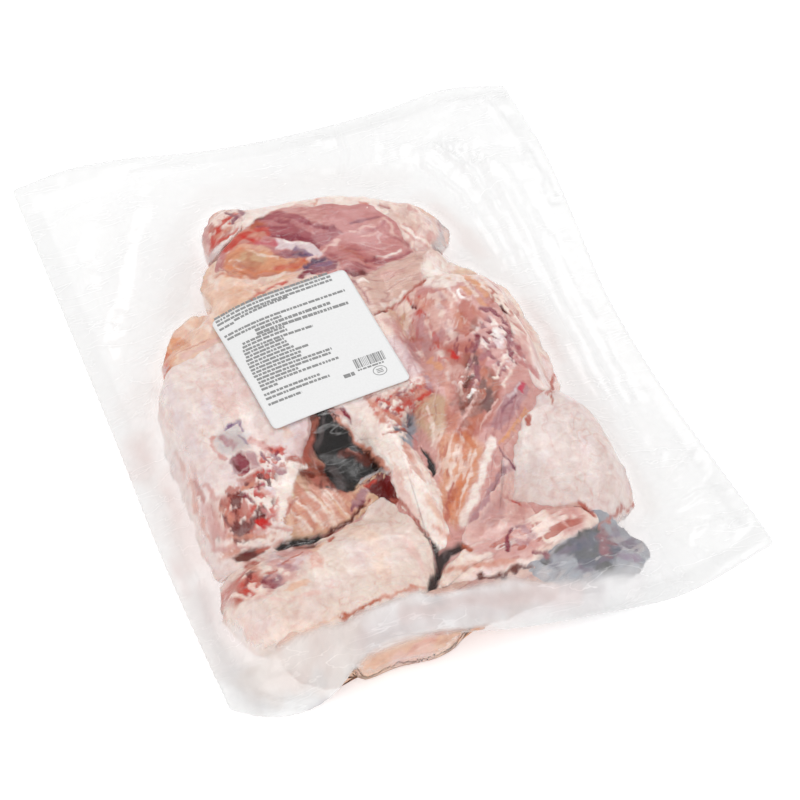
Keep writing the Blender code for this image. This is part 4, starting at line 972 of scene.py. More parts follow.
# What shows in and beside the hollows, and dark lines of painted shade along some creases.
HOLLOW_STROKES = [
    ("grey", 3.4, 2.4, 0.8, [(-72, -94), (-70, -106), (-73, -116)]),
    ("grey", 1.6, 1.3, 0.9, [(-64, -58), (-68, -68), (-76, -77)]),
    ("grey", 1.0, 1.2, 0.5, [(-58, -62), (-60, -74)]),
    ("umber", 3.4, 3, 0.7, [(-61, -86), (-52, -90), (-47, -101)]),
    ("brown", 1.4, 1.6, 0.6, [(-56, -84), (-50, -92)]),
    ("grey", 1.0, 1.1, 0.6, [(-52, -78), (-48, -90)]),
    ("salmon", 1.1, 0.9, 0.95, [(-58, -68), (-51, -75), (-46, -86), (-42, -102), (-40, -119)]),
    ("bone", 1.6, 1.3, 0.9, [(-55, -68), (-48, -76), (-43, -88), (-39, -104), (-37, -120)]),
    ("ash", 0.9, 0.9, 0.9, [(-58, -114), (-50, -110), (-44, -112), (-41, -120)]),
    ("red", 1.2, 1.0, 0.9, [(-55, -117), (-49, -117)]),
    ("brick", 1.0, 0.9, 0.9, [(-44, -138), (-40, -147), (-38, -156), (-36, -168), (-34, -178)]),
    # Painted shade: an umber line along the gap at the front skin's back edge.
    ("umber", 1.0, 0.9, 0.95, [(-97, -145.5), (-88, -145), (-78, -142), (-70, -136), (-62, -131)]),
    ("brick", 0.8, 0.9, 0.8, [(-62, -131), (-55, -127)]),
    ("brick", 1.2, 1.0, 0.8, [(-142, -139), (-134, -141)]),
    ("clot", 1.4, 1.2, 0.8, [(-150, -137), (-144, -140)]),
    ("rust", 1.6, 1.2, 0.95, [(-13, -189), (-11, -196)]),
    # Painted shade: a grey shadow beside the dark gap at the front, and an umber line up a crease.
    ("grey", 1.0, 1.1, 0.6, [(-42, -204), (-36, -198)]),
    ("umber", 0.8, 0.8, 0.9, [(-36, -177), (-37, -166)]),
]

# Where the upper film stands off the meat and looks milky: (haze, softness, outline).
HAZE_ZONES = [
    (0.34, 30.0, [(-206, 70), (-156, 46), (-154, 0), (-156, -60), (-164, -104), (-170, -136), (-206, -160)]),
    (0.50, 14.0, [(36, -235), (60, -234), (84, -235), (104, -232), (112, -222), (118, -206), (130, -200),
                  (130, -252), (36, -252)]),
    (0.50, 22.0, [(-206, 70), (-164, 50), (-162, 0), (-164, -60), (-170, -100), (-180, -150), (-184, -205),
                  (-206, -215)]),
    (0.82, 5.0, [(-206, -206), (-176, -212), (-112, -221), (-56, -214), (-44, -217), (10, -220),
                 (30, -227), (60, -236), (90, -240), (112, -238), (130, -262), (20, -262), (-16, -240),
                 (-60, -237.5), (-100, -238), (-116, -242), (-130, -262), (-206, -262)]),
    (0.18, 12.0, [(16, -217), (38, -213), (62, -208), (86, -198), (120, -184), (130, -240), (60, -246),
                 (20, -240)]),
    (0.50, 18.0, [(62, 180), (96, 146), (110, 112), (98, 76), (118, 62), (124, 20), (128, -30),
                  (126, -100), (128, -186), (206, -200), (206, 200), (70, 210)]),
    (0.45, 12.0, [(-206, 262), (-206, 80), (-156, 84), (-120, 90), (-106, 116), (-92, 144), (-68, 192),
                  (0, 188), (60, 178), (206, 200), (206, 262)]),
]

# Tints of the free film's haze, mostly pink juice, and a painted fold shadow: (colour, half width, softness,
# strength, path).
FILM_TINTS = [
    ("blush", 10, 14, 0.5, [(-185, -8), (-188, -34)]),
    ("rose", 4, 7, 0.4, [(-185, -14), (-184, -28)]),
    ("blush", 8, 12, 0.6, [(-176, -50), (-178, -90), (-184, -120)]),
    ("rose", 3, 6, 0.45, [(-180, -60), (-179, -84)]),
    ("rose", 3, 6, 0.35, [(-195, -112), (-194, -142)]),
    ("skin", 16, 14, 0.35, [(-172, 20), (-176, -60), (-188, -150), (-188, -205)]),
    ("rose", 3, 5, 0.35, [(-183, -140), (-186, -168)]),
    ("lilac_skin", 9, 10, 0.3, [(-160, -228), (-60, -224), (30, -230), (90, -240)]),
    # Painted shadow: bruise and navy tints in the fold at the front left corner.
    ("bruise", 5, 7, 1.0, [(-144, -254), (-134, -251)]),
    ("navy", 2.0, 4, 1.0, [(-150, -255), (-140, -256)]),
    ("sand", 14, 16, 0.6, [(-168, -222), (-140, -226), (-112, -228)]),
    ("ash", 8, 14, 0.55, [(-186, -150), (-190, -200), (-178, -240)]),
    ("steel", 5, 8, 0.8, [(-172, -256), (-132, -262), (-106, -254), (-90, -246)]),
    ("lilac_skin", 7, 9, 0.5, [(-100, -232), (-40, -228), (10, -232), (60, -244)]),
    ("blush", 4, 6, 0.5, [(-70, -224), (-20, -226), (20, -230), (50, -238)]),
    ("skin", 12, 14, 0.35, [(92, 140), (106, 100), (116, 60), (126, 10), (128, -60), (126, -120),
                           (124, -180)]),
    ("blush", 5, 9, 0.5, [(120, 14), (126, -16), (124, -40)]),
    ("blush", 8, 10, 0.35, [(96, 124), (106, 96), (110, 80)]),
    ("skin", 12, 16, 0.2, [(-100, 150), (-60, 194), (20, 192), (80, 172)]),
    ("skin", 10, 14, 0.4, [(-124, 94), (-100, 122)]),
]

# Folds of the free film: (height, half width, path).
FILM_FOLDS = [
    (2.2, 2.6, [(122, 196), (138, 160), (142, 110), (138, 50), (140, 0), (138, -60), (136, -120),
        (134, -168)]),
    (1.6, 2.2, [(128, 200), (150, 160), (154, 90), (150, 20), (150, -60), (146, -130)]),
    (1.3, 2.0, [(132, 204), (164, 150), (168, 70), (164, -20), (160, -90)]),
    (1.4, 2.4, [(108, 180), (122, 140), (126, 90), (126, 40)]),
    (1.6, 2.0, [(122, -184), (140, -176), (160, -160), (176, -150)]),
    (1.6, 2.0, [(124, -190), (146, -188), (168, -182), (190, -184)]),
    (1.6, 2.0, [(122, -198), (142, -202), (166, -206), (186, -214)]),
    (1.4, 2.0, [(118, -208), (136, -216), (150, -228), (158, -240)]),
    (1.2, 1.8, [(126, -176), (146, -160), (156, -140)]),
    (1.2, 1.8, [(110, -216), (124, -228), (130, -242)]),
    (1.4, 2.0, [(176, 232), (184, 200), (186, 160), (188, 110)]),
    (1.3, 2.2, [(-166, 64), (-174, 96), (-184, 130), (-188, 160)]),
    (1.3, 2.2, [(-158, 84), (-170, 108), (-178, 140), (-172, 176)]),
    (1.2, 2.2, [(-148, 96), (-162, 130), (-164, 170), (-150, 204)]),
    (1.4, 2.0, [(-136, 210), (-142, 230), (-134, 244)]),
    (1.4, 2.0, [(-170, 6), (-176, -40), (-178, -100), (-190, -160), (-194, -210)]),
    (1.2, 2.0, [(-164, 40), (-166, 0), (-166, -50)]),
    (1.2, 2.0, [(-184, 60), (-188, 0), (-190, -60)]),
    (1.4, 2.2, [(-180, -214), (-140, -222), (-90, -226), (-30, -224), (20, -230), (60, -240)]),
    (1.2, 1.8, [(-176, -222), (-150, -232), (-120, -236)]),
    (1.2, 1.8, [(-184, -228), (-160, -240), (-136, -246)]),
    (1.2, 2.2, [(-40, 190), (-30, 214), (-32, 240)]),
    (1.2, 2.4, [(40, 184), (56, 210), (60, 240)]),
]

# Strands over each kind of piece: colour, spacing, stretch along the grain, width, strength.
VEINS = {
    "skin": [
        ("blush", 17, 1.6, 0.25, 0.2), ("bone", 9, 1.6, 0.16, 0.3), ("rose", 21, 1.8, 0.05, 0.3),
        ("lilac_skin", 30, 1.2, 0.4, 0.5), ("salmon", 13, 1.5, 0.035, 0.35),
    ],
    "muscle": [
        ("maroon", 9, 3.4, 0.12, 0.4), ("blush", 8, 3.6, 0.12, 0.25), ("white", 15, 2.8, 0.04, 0.4),
    ],
    "organ": [("grey", 7, 2.5, 0.16, 0.5), ("ash", 15, 2.0, 0.05, 0.4)],
}


def smooth_step(value):
    """0 below 0, 1 above 1, and a smooth rise between them."""
    value = np.clip(value, 0.0, 1.0)
    return value * value * (3.0 - 2.0 * value)


LATTICE = np.random.default_rng(11).random((NOISE_SIZE, NOISE_SIZE))


def value_noise(x, y):
    """Smooth noise from 0 to 1 with features one unit across."""
    column, row = np.floor(x).astype(int), np.floor(y).astype(int)
    u, v = smooth_step(x - column), smooth_step(y - row)
    corners = [
        LATTICE[(row + down) % NOISE_SIZE, (column + right) % NOISE_SIZE]
        for down in (0, 1) for right in (0, 1)
    ]
    low = corners[0] * (1 - u) + corners[1] * u
    high = corners[2] * (1 - u) + corners[3] * u
    return low * (1 - v) + high * v


def layered_noise(x, y, size, octaves):
    """Noise from 0 to 1 whose largest features are size across."""
    total, weight = np.zeros_like(x), 0.0
    for octave in range(octaves):
        scale = 2.0**octave / size
        total = total + value_noise(x * scale + 17.3 * octave, y * scale - 9.1 * octave) / 2.0**octave
        weight += 1.0 / 2.0**octave
    return total / weight


def linear_colour(name, veil=0.0):
    """A palette colour in the linear values that shaders use, less the share of light a veil adds."""
    shown = np.array(PALETTE[name]) / 255.0
    linear = np.where(shown <= 0.04045, shown / 12.92, ((shown + 0.055) / 1.055) ** 2.4)
    return np.clip((linear - veil) / (1.0 - veil), 0.004, 1.0)


def ridges(x, y, size, octaves):
    """Noise from 0 to 1 that peaks along thin branching lines."""
    return 1.0 - np.abs(2.0 * layered_noise(x, y, size, octaves) - 1.0)


def label_share(x, y):
    """1 on the label and close round it, falling to 0 where the film is free to crumple."""
    u, v = turned(x - LABEL_PLACE[0], y - LABEL_PLACE[1], LABEL_TURN)
    outside = np.hypot(
        np.clip(np.abs(u) - LABEL_SIZE[0] / 2, 0.0, None), np.clip(np.abs(v) - LABEL_SIZE[1] / 2, 0.0, None)
    )
    return 1.0 - smooth_step((outside - LABEL_CALM) / LABEL_FADE)


def turned(x, y, degrees):
    """The points' places on axes turned anticlockwise by an angle."""
    angle = np.radians(degrees)
    return x * np.cos(angle) + y * np.sin(angle), y * np.cos(angle) - x * np.sin(angle)


def path_distance(x, y, path):
    """Distance from each point to an open path, or to a dot if the path has one point."""
    nearest = np.full(x.shape, np.inf)
    for (ax, ay), (bx, by) in zip(path[:-1] or path, path[1:] or path):
        span = (bx - ax) ** 2 + (by - ay) ** 2
        t = np.clip(((x - ax) * (bx - ax) + (y - ay) * (by - ay)) / max(span, 1e-9), 0.0, 1.0)
        nearest = np.minimum(nearest, np.hypot(x - ax - t * (bx - ax), y - ay - t * (by - ay)))
    return nearest


def area_depth(x, y, outline):
    """How far inside a closed outline each point is; negative outside."""
    closed = list(outline) + [outline[0]]
    inside = np.zeros(x.shape, bool)
    for (ax, ay), (bx, by) in zip(closed, closed[1:]):
        if ay != by:
            crossing = ax + (y - ay) * (bx - ax) / (by - ay)
            inside ^= ((y < ay) != (y < by)) & (x < crossing)
    distance = path_distance(x, y, closed)
    return np.where(inside, distance, -distance)


def smooth_outline(points, spacing):
    """A closed smooth curve through the points, with even spacing."""
    points = np.array(points, float)
    before, after, beyond = np.roll(points, 1, 0), np.roll(points, -1, 0), np.roll(points, -2, 0)
    t = np.linspace(0, 1, 16, endpoint=False)[None, :, None]
    p0, p1, p2, p3 = (p[:, None, :] for p in (before, points, after, beyond))
    curve = 0.5 * (
        2 * p1 + (p2 - p0) * t + (2 * p0 - 5 * p1 + 4 * p2 - p3) * t**2 + (3 * p1 - p0 - 3 * p2 + p3) * t**3
    )
    curve = curve.reshape(-1, 2)
    closed = np.vstack([curve, curve[:1]])
    along = np.concatenate([[0.0], np.cumsum(np.hypot(*np.diff(closed, axis=0).T))])
    count = max(24, int(along[-1] / spacing))
    at = np.linspace(0, along[-1], count, endpoint=False)
    return np.stack([np.interp(at, along, closed[:, 0]), np.interp(at, along, closed[:, 1])], axis=1)


# Helpers for Blender data.

def new_object(name, points, faces):
    """A smooth-shaded mesh object from points in millimetres."""
    mesh = bpy.data.meshes.new(name)
    mesh.from_pydata((np.asarray(points) * MM).tolist(), [], faces)
    mesh.update()
    mesh.shade_smooth()
    obj = bpy.data.objects.new(name, mesh)
    bpy.context.scene.collection.objects.link(obj)
    return obj


def set_colours(obj, name, colours):
    """Stores one linear colour for each vertex."""
    layer = obj.data.color_attributes.new(name, "FLOAT_COLOR", "POINT")
    values = np.ones((len(colours), 4))
    values[:, :3] = colours
    layer.data.foreach_set("color", values.ravel())


def set_values(obj, name, values):
    """Stores one number for each vertex."""
    layer = obj.data.attributes.new(name, "FLOAT", "POINT")
    layer.data.foreach_set("value", np.asarray(values, float))


def vertex_array(mesh):
    """The places of a mesh's vertices in millimetres."""
    places = np.empty(len(mesh.vertices) * 3)
    mesh.vertices.foreach_get("co", places)
    return places.reshape(-1, 3) / MM


def surface_tree(obj):
    """A search tree over an object's faces."""
    mesh = obj.data
    return BVHTree.FromPolygons([v.co for v in mesh.vertices], [tuple(p.vertices) for p in mesh.polygons])


class Shader:
    """A short way to add and join the nodes of a new material."""

    def __init__(self, name):
        self.material = bpy.data.materials.new(name)
        self.material.use_nodes = True
        self.tree = self.material.node_tree
        self.tree.nodes.clear()
        self.output = self.add("ShaderNodeOutputMaterial")

    def add(self, kind, settings=None, **inputs):
        """Adds a node, with its settings and the values of its inputs."""
        node = self.tree.nodes.new(kind)
        for key, value in (settings or {}).items():
            setattr(node, key, value)
        for key, value in inputs.items():
            self.feed(node, key.replace("_", " "), value)
        return node

    def feed(self, node, socket, value):
        """Sets a socket to a value, or joins it to another node's output."""
        target = node.inputs[int(socket)] if str(socket).isdigit() else node.inputs[socket]
        if isinstance(value, bpy.types.NodeSocket):
            self.tree.links.new(value, target)
        else:
            target.default_value = value

    def math(self, operation, first, second=0.0):
        """The result of a sum on one or two values."""
        node = self.add("ShaderNodeMath", {"operation": operation})
        self.feed(node, 0, first)
        self.feed(node, 1, second)
        return node.outputs[0]

    def blend(self, first, second, factor=1.0, mode="MIX"):
        """Mixes two colours."""
        node = self.add("ShaderNodeMix", {"data_type": "RGBA", "blend_type": mode})
        for socket, value in ((0, factor), (6, first), (7, second)):
            self.feed(node, socket, value)
        return node.outputs[2]

    def layer(self, factor, under, over):
        """Mixes two surfaces: only the first at factor 0, only the second at 1."""
        node = self.add("ShaderNodeMixShader")
        for socket, value in ((0, factor), (1, under), (2, over)):
            self.feed(node, socket, value)
        return node.outputs[0]

    def ramp(self, factor, stops):
        """Maps a factor through (position, colour) stops."""
        node = self.add("ShaderNodeValToRGB")
        elements = node.color_ramp.elements
        while len(elements) < len(stops):
            elements.new(0.5)
        for element, (position, colour) in zip(elements, stops):
            element.position = position
            element.color = (*colour, 1.0)
        self.feed(node, "Fac", factor)
        return node.outputs["Color"]

    def noise(self, vector, scale, detail=4.0, roughness=0.55, distortion=0.0):
        """Noise from 0 to 1 over the given coordinates."""
        node = self.add(
            "ShaderNodeTexNoise", Scale=scale, Detail=detail, Roughness=roughness, Distortion=distortion
        )
        self.feed(node, "Vector", vector)
        return node.outputs["Fac"]

    def mapped(self, scale, degrees=0.0):
        """Object coordinates, turned about the upright axis and scaled."""
        place = self.add("ShaderNodeTexCoord")
        node = self.add("ShaderNodeMapping", Scale=scale, Rotation=(0.0, 0.0, -math.radians(degrees)))
        self.feed(node, "Vector", place.outputs["Object"])
        return node.outputs["Vector"]


# Stage: camera, lights and floor.

def make_camera():
    """The camera, looking at its target from an azimuth and elevation, with a slight roll."""
    azimuth, elevation = math.radians(CAMERA_AZIMUTH), math.radians(CAMERA_ELEVATION)
    roll = math.radians(CAMERA_ROLL)
    back = Vector((
        math.sin(azimuth) * math.cos(elevation), -math.cos(azimuth) * math.cos(elevation),
        math.sin(elevation),
    ))
    level = Vector((math.cos(azimuth), math.sin(azimuth), 0.0))
    upright = back.cross(level)
    right = level * math.cos(roll) + upright * math.sin(roll)
    up = back.cross(right)
    data = bpy.data.cameras.new("camera")
    data.sensor_width = CAMERA_SENSOR
    data.lens = data.sensor_width / 2 / math.tan(math.radians(CAMERA_VIEW) / 2)
    data.clip_end = CAMERA_REACH
    camera = bpy.data.objects.new("camera", data)
    place = (Vector(CAMERA_TARGET) + back * CAMERA_DISTANCE) * MM
    camera.matrix_world = Matrix((
        (right.x, up.x, back.x, place.x),
        (right.y, up.y, back.y, place.y),
        (right.z, up.z, back.z, place.z),
        (0.0, 0.0, 0.0, 1.0),
    ))
    bpy.context.scene.collection.objects.link(camera)
    bpy.context.scene.camera = camera


def make_area_light(name, place, aim, size, power):
    """A round soft light at a place, turned towards its aim."""
    data = bpy.data.lights.new(name, "AREA")
    data.shape = "DISK"
    data.size = size
    data.energy = power
    light = bpy.data.objects.new(name, data)
    light.location = place
    light.rotation_euler = (Vector(aim) - Vector(place)).to_track_quat("-Z", "Y").to_euler()
    bpy.context.scene.collection.objects.link(light)


def make_stage():
    """White surroundings, three soft lights, and a plain pale floor."""
    world = bpy.data.worlds.new("studio")
    world.use_nodes = True
    background = world.node_tree.nodes["Background"]
    background.inputs["Color"].default_value = (1.0, 1.0, 1.0, 1.0)
    background.inputs["Strength"].default_value = SKY_STRENGTH
    bpy.context.scene.world = world
    for light in LIGHTS:
        make_area_light(*light)
    bpy.context.scene.view_settings.view_transform = "Standard"

    corners = [(-1, -1), (1, -1), (1, 1), (-1, 1)]
    points = [(x * FLOOR_REACH, y * FLOOR_REACH, FLOOR_HEIGHT) for x, y in corners]
    floor = new_object("floor", points, [(0, 1, 2, 3)])
    shader = Shader("floor")
    grain = shader.noise(shader.mapped((1.0, 1.0, 1.0)), 40.0, 3.0)
    dark, light = [(tone, tone, tone, 1.0) for tone in FLOOR_TONES]
    tone = shader.blend(dark, light, grain)
    surface = shader.add("ShaderNodeBsdfPrincipled", Roughness=0.8)
    surface.inputs["Emission Color"].default_value = (1.0, 1.0, 1.0, 1.0)
    surface.inputs["Emission Strength"].default_value = FLOOR_GLOW
    shader.feed(surface, "Base Color", tone)
    shader.feed(shader.output, "Surface", surface.outputs[0])
    floor.data.materials.append(shader.material)


# Film.

def make_film(bag):
    """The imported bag's surface, split finely and smoothed."""
    mesh = bmesh.new()
    mesh.from_mesh(bag.data)
    bmesh.ops.remove_doubles(mesh, verts=mesh.verts, dist=WELD_DISTANCE * MM)
    for _ in range(FILM_SPLITS):
        long_edges = [edge for edge in mesh.edges if edge.calc_length() > FILM_EDGE_LIMIT * MM]
        bmesh.ops.subdivide_edges(mesh, edges=long_edges, cuts=1, use_grid_fill=True)
    bmesh.ops.triangulate(mesh, faces=mesh.faces)
    raised = [vert for vert in mesh.verts if vert.co.z > FILM_FLOOR * MM]
    for _ in range(FILM_SMOOTHING):
        bmesh.ops.smooth_vert(
            mesh, verts=raised, factor=0.5, use_axis_x=True, use_axis_y=True, use_axis_z=True
        )
    mesh.normal_update()
    points = np.array([vert.co for vert in mesh.verts]) / MM
    normals = np.array([vert.normal for vert in mesh.verts])
    calm = smooth_step(rim_distance(points, normals) / RIM_CALM)
    points = points + normals * (film_relief(points, normals) * calm)[:, None]
    for vert, place in zip(mesh.verts, points):
        vert.co = Vector(place) * MM
    data = bpy.data.meshes.new("film")
    mesh.to_mesh(data)
    mesh.free()
    data.shade_smooth()
    film = bpy.data.objects.new("film", data)
    bpy.context.scene.collection.objects.link(film)
    return film


def rim_distance(points, normals):
    """Distance from each film point to the pouch's cut edge, where the two sheets meet."""
    edge = np.flatnonzero((np.abs(normals[:, 2]) < 0.75) & outermost(points))
    tree = KDTree(len(edge))
    for slot, index in enumerate(edge):
        tree.insert(Vector(points[index]), slot)
    tree.balance()
    return np.array([tree.find(Vector(point))[2] for point in points])


def outermost(points):
    """True for points on the pouch's outer edge, seen from above."""
    x, y = points[:, 0], points[:, 1]
    turn = np.arctan2(y * 0.8, x)
    sector = np.floor((turn / (2.0 * math.pi) + 0.5) * EDGE_SECTORS).astype(int) % EDGE_SECTORS
    reach = np.hypot(x, y)
    farthest = np.zeros(EDGE_SECTORS)
    np.maximum.at(farthest, sector, reach)
    return reach > farthest[sector] - EDGE_SLACK


def film_relief(points, normals):
    """How far the film's creases and puckers move each point along its normal."""
    x, y, z = points.T
    on_heap = smooth_step((z - HEAP_START) / HEAP_RISE)
    crumple = CRUMPLE_HEIGHT * (ridges(x, y, CRUMPLE_SIZE, 2) - RIDGE_LEVEL)
    crumple = crumple + PUCKER_HEIGHT * (layered_noise(x, y, PUCKER_SIZE, 3) - 0.5)
    bent_x, bent_y = turned(x, y, 30.0 * layered_noise(x, y, 150.0, 1))
    pleats = PLEAT_HEIGHT * (ridges(bent_x, bent_y, PLEAT_SIZE, 3) - RIDGE_LEVEL)
    for height, half_width, path in FILM_FOLDS:
        wander = FOLD_WANDER * (layered_noise(x, y, FOLD_WANDER_SIZE, 2) - 0.5)
        across = path_distance(x + wander, y + wander, path) / half_width
        pleats = pleats + height * (np.exp(-across**2) - 0.6 * np.exp(-((across - 1.7) ** 2)))
    moved = on_heap * crumple * (1.0 - label_share(x, y)) + (1.0 - on_heap) * pleats
    return moved * smooth_step((z - FILM_FLOOR) / 0.9) * (normals[:, 2] > -0.2)


def film_heights(tree, x, y):
    """Heights of the upper and lower film over each point, in millimetres; 0 and 0 outside the bag."""
    upper, lower = np.zeros(len(x)), np.zeros(len(x))
    for index, (px, py) in enumerate(zip(x * MM, y * MM)):
        hit = tree.ray_cast(Vector((px, py, 1.0)), Vector((0.0, 0.0, -1.0)))[0]
        if hit is not None:
            upper[index] = hit.z / MM
            lower[index] = tree.ray_cast(Vector((px, py, -1.0)), Vector((0.0, 0.0, 1.0)))[0].z / MM
    return upper, lower


# Pieces.

def painted_colours(x, y, spec):
    """Colours of points on a piece: its base, patches, strands, and strokes with ragged edges."""
    warped_x = x + PAINT_WARP * (layered_noise(x, y, WARP_SIZE, 4) - 0.5)
    warped_y = y + PAINT_WARP * (layered_noise(x + 90.0, y - 40.0, WARP_SIZE, 4) - 0.5)
    colours = np.tile(linear_colour(spec["base"], VEIL), (len(x), 1))
    add_areas(colours, warped_x, warped_y, AREAS)
    add_veins(colours, x, y, spec["grain"], VEINS[spec["slot"]])
    add_textures(colours, x, y, TEXTURES)
    add_strokes(colours, x, y, warped_x, warped_y, MARKS)
    return colours


def add_areas(colours, x, y, areas):
    """Fills each outline with a colour, with a soft edge."""
    for name, softness, strength, outline in areas:
        weight = smooth_step(area_depth(x, y, outline) / softness + 0.5) * strength
        colours += (linear_colour(name, VEIL) - colours) * weight[:, None]


def add_textures(colours, x, y, textures):
    """Scatters crumbs and fibres of a colour inside each outline."""
    for index, (name, size, stretch, degrees, share, strength, outline) in enumerate(textures):
        middle = np.mean(outline, axis=0)
        reach = NEAR_MARGIN + np.hypot(*(np.array(outline) - middle).T).max()
        near = np.flatnonzero(np.hypot(x - middle[0], y - middle[1]) < reach)
        u, v = turned(x[near], y[near], degrees)
        grains = layered_noise(u / stretch + 23.0 * index, v - 37.0 * index, size, 3)
        inside = smooth_step(area_depth(x[near], y[near], outline) / 6.0 + 0.4)
        weight = smooth_step((grains - 1.0 + share) / CRUMB_SOFTNESS + 0.5) * inside * strength
        colours[near] += (linear_colour(name, VEIL) - colours[near]) * weight[:, None]


def add_strokes(colours, x, y, warped_x, warped_y, strokes):
    """Lays strokes over the colours; the warped places give them ragged edges."""
    for index, (name, half_width, softness, strength, path) in enumerate(strokes):
        middle = np.mean(path, axis=0)
        reach = half_width + softness + NEAR_MARGIN + np.hypot(*(np.array(path) - middle).T).max()
        near = np.flatnonzero(np.hypot(x - middle[0], y - middle[1]) < reach)
        distance = path_distance(warped_x[near], warped_y[near], path)
        broken = layered_noise(x[near] + 13.0 * index, y[near], STROKE_BREAK_SIZE, 3)
        soft = STROKE_SOFTNESS * softness
        weight = smooth_step((half_width * (0.4 + 1.2 * broken) - distance) / soft + 0.5)
        weight = np.clip(weight * strength * (0.5 + 1.0 * broken), 0.0, 1.0)
        colours[near] += (linear_colour(name, VEIL) - colours[near]) * weight[:, None]


def add_hollows(colours, x, y):
    """Painted shade in the hollow and the gaps between pieces, a dark clot, and what shows in them."""
    warped_x = x + HOLLOW_WARP * (layered_noise(x, y, WARP_SIZE, 2) - 0.5)
    warped_y = y + HOLLOW_WARP * (layered_noise(x - 70.0, y + 30.0, WARP_SIZE, 2) - 0.5)
    add_areas(colours, warped_x, warped_y, HOLLOW_SHADE_AND_CLOT)
    add_strokes(colours, x, y, warped_x, warped_y, HOLLOW_STROKES)


def add_veins(colours, x, y, grain, veins):
    """Adds branching strands of colour, stretched along the grain and thicker in some places."""
    u, v = turned(x, y, grain)
    for index, (name, size, stretch, width, strength) in enumerate(veins):
        shift = 61.0 * (index + 1)
        lines = ridges(u / stretch + shift, v - shift, size, 3)
        patch = smooth_step(layered_noise(x - shift, y + shift, VEIN_PATCH_SIZE, 2) * 3.0 - 1.0)
        weight = smooth_step((lines - 1.0 + width) / width) * strength * patch
        colours += (linear_colour(name, VEIL) - colours) * weight[:, None]


def make_piece(name, spec, film_tree, shader):
    """A closed piece whose top is pressed against the film and whose edges are rounded."""
    spacing = spec.get("spacing", PIECE_SPACING)
    outline = smooth_outline(spec["outline"], spacing)
    outline = outline + RAGGED * np.column_stack([
        layered_noise(outline[:, 0], outline[:, 1], RAGGED_SIZE, 3) - 0.5,
        layered_noise(outline[:, 0] + 50.0, outline[:, 1] - 80.0, RAGGED_SIZE, 3) - 0.5,
    ])
    centre = outline.mean(axis=0)
    radius = np.hypot(*(outline - centre).T).max()
    rings = int(radius / spacing)
    shares = np.arange(1, rings + 1) / rings
    top = np.vstack([centre[None, :]] + [centre + share * (outline - centre) for share in shares])
    x, y = top[:, 0], top[:, 1]
    upper, lower = film_heights(film_tree, x, y)

    inset = path_distance(x, y, [tuple(point) for point in np.vstack([outline, outline[:1]])])
    edge = spec["edge"] * EDGE_SHARE
    fall = edge - np.sqrt(np.clip(edge**2 - np.clip(edge - inset, 0.0, edge) ** 2, 0.0, None))
    depth = PIECE_GAP + LEVEL_STEP * (TOP_LEVEL - spec["level"])
    along, across = turned(x, y, spec["grain"])
    relief = FIBRE_RELIEF * layered_noise(along / FIBRE_STRETCH, across, FIBRE_SIZE, 4)
    paint = painted_colours(x, y, spec)
    # Painted shade in the hollow and the gaps between pieces goes over the paint.
    add_hollows(paint, x, y)
    brightness = paint @ np.array(BRIGHTNESS)
    groove = GROOVE * np.clip(1.0 - brightness / np.percentile(brightness, 75), 0.0, 1.0)
    height = upper - depth - fall - relief - groove
    floor = lower + FLOOR_GAP + LEVEL_STEP * spec["level"]
    height = np.maximum(height, floor + 1.0)

    # The underside is the same outline in wider rings. Over the fill it is lifted, so that the fill shows.
    count = len(outline)
    low_shares = [0.985, 0.95] + list(np.arange(0.92, 0.04, -UNDER_SPACING / radius))
    under = np.vstack([centre + share * (outline - centre) for share in low_shares] + [centre[None, :]])
    under_upper, under_lower = film_heights(film_tree, under[:, 0], under[:, 1])
    under_height = under_lower + FLOOR_GAP + LEVEL_STEP * spec["level"]
    bumps = layered_noise(under[:, 0], under[:, 1] + 40.0, UNDER_RELIEF_SIZE, 3)
    under_height += UNDER_RELIEF * bumps
    if name != "carcass":
        over_fill = area_depth(under[:, 0], under[:, 1], PIECES["carcass"]["outline"])
        under_height += UNDER_LIFT * smooth_step(over_fill / UNDER_LIFT - 0.5)
    for ring, rise in enumerate(RIM_RISES):
        under_height[ring * count:(ring + 1) * count] += rise
    under_height = np.minimum(under_height, np.maximum(under_upper - depth - 2.0, under_lower + 0.8))

    points = np.vstack([np.column_stack([top, height]), np.column_stack([under, under_height])])
    points = kept_inside(points, film_tree)
    faces = [(0, 1 + i, 1 + (i + 1) % count) for i in range(count)]
    bands = [1 + ring * count for ring in range(rings + len(low_shares))]
    for first, second in zip(bands, bands[1:]):
        faces += [
            (first + i, second + i, second + (i + 1) % count, first + (i + 1) % count) for i in range(count)
        ]
    last = len(points) - 1
    faces += [(bands[-1] + i, last, bands[-1] + (i + 1) % count) for i in range(count)]

    piece = new_object(name, points, faces)
    under_paint = painted_colours(under[:, 0], under[:, 1], spec)
    set_colours(piece, "paint", np.vstack([paint, under_paint]))
    piece.data.materials.append(shader)
    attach(piece, "root")
    return piece


def kept_inside(points, film_tree):
    """Moves points that come too near the film, or pass through it, back inside."""
    points = points.copy()
    for _ in range(INSIDE_PASSES):
        for index, point in enumerate(points):
            place, normal, _, _ = film_tree.find_nearest(Vector(point) * MM)
            depth = (place - Vector(point) * MM).dot(normal) / MM
            if depth < INSIDE_GAP:
                points[index] = np.array(place - normal * INSIDE_GAP * MM) / MM
    return points


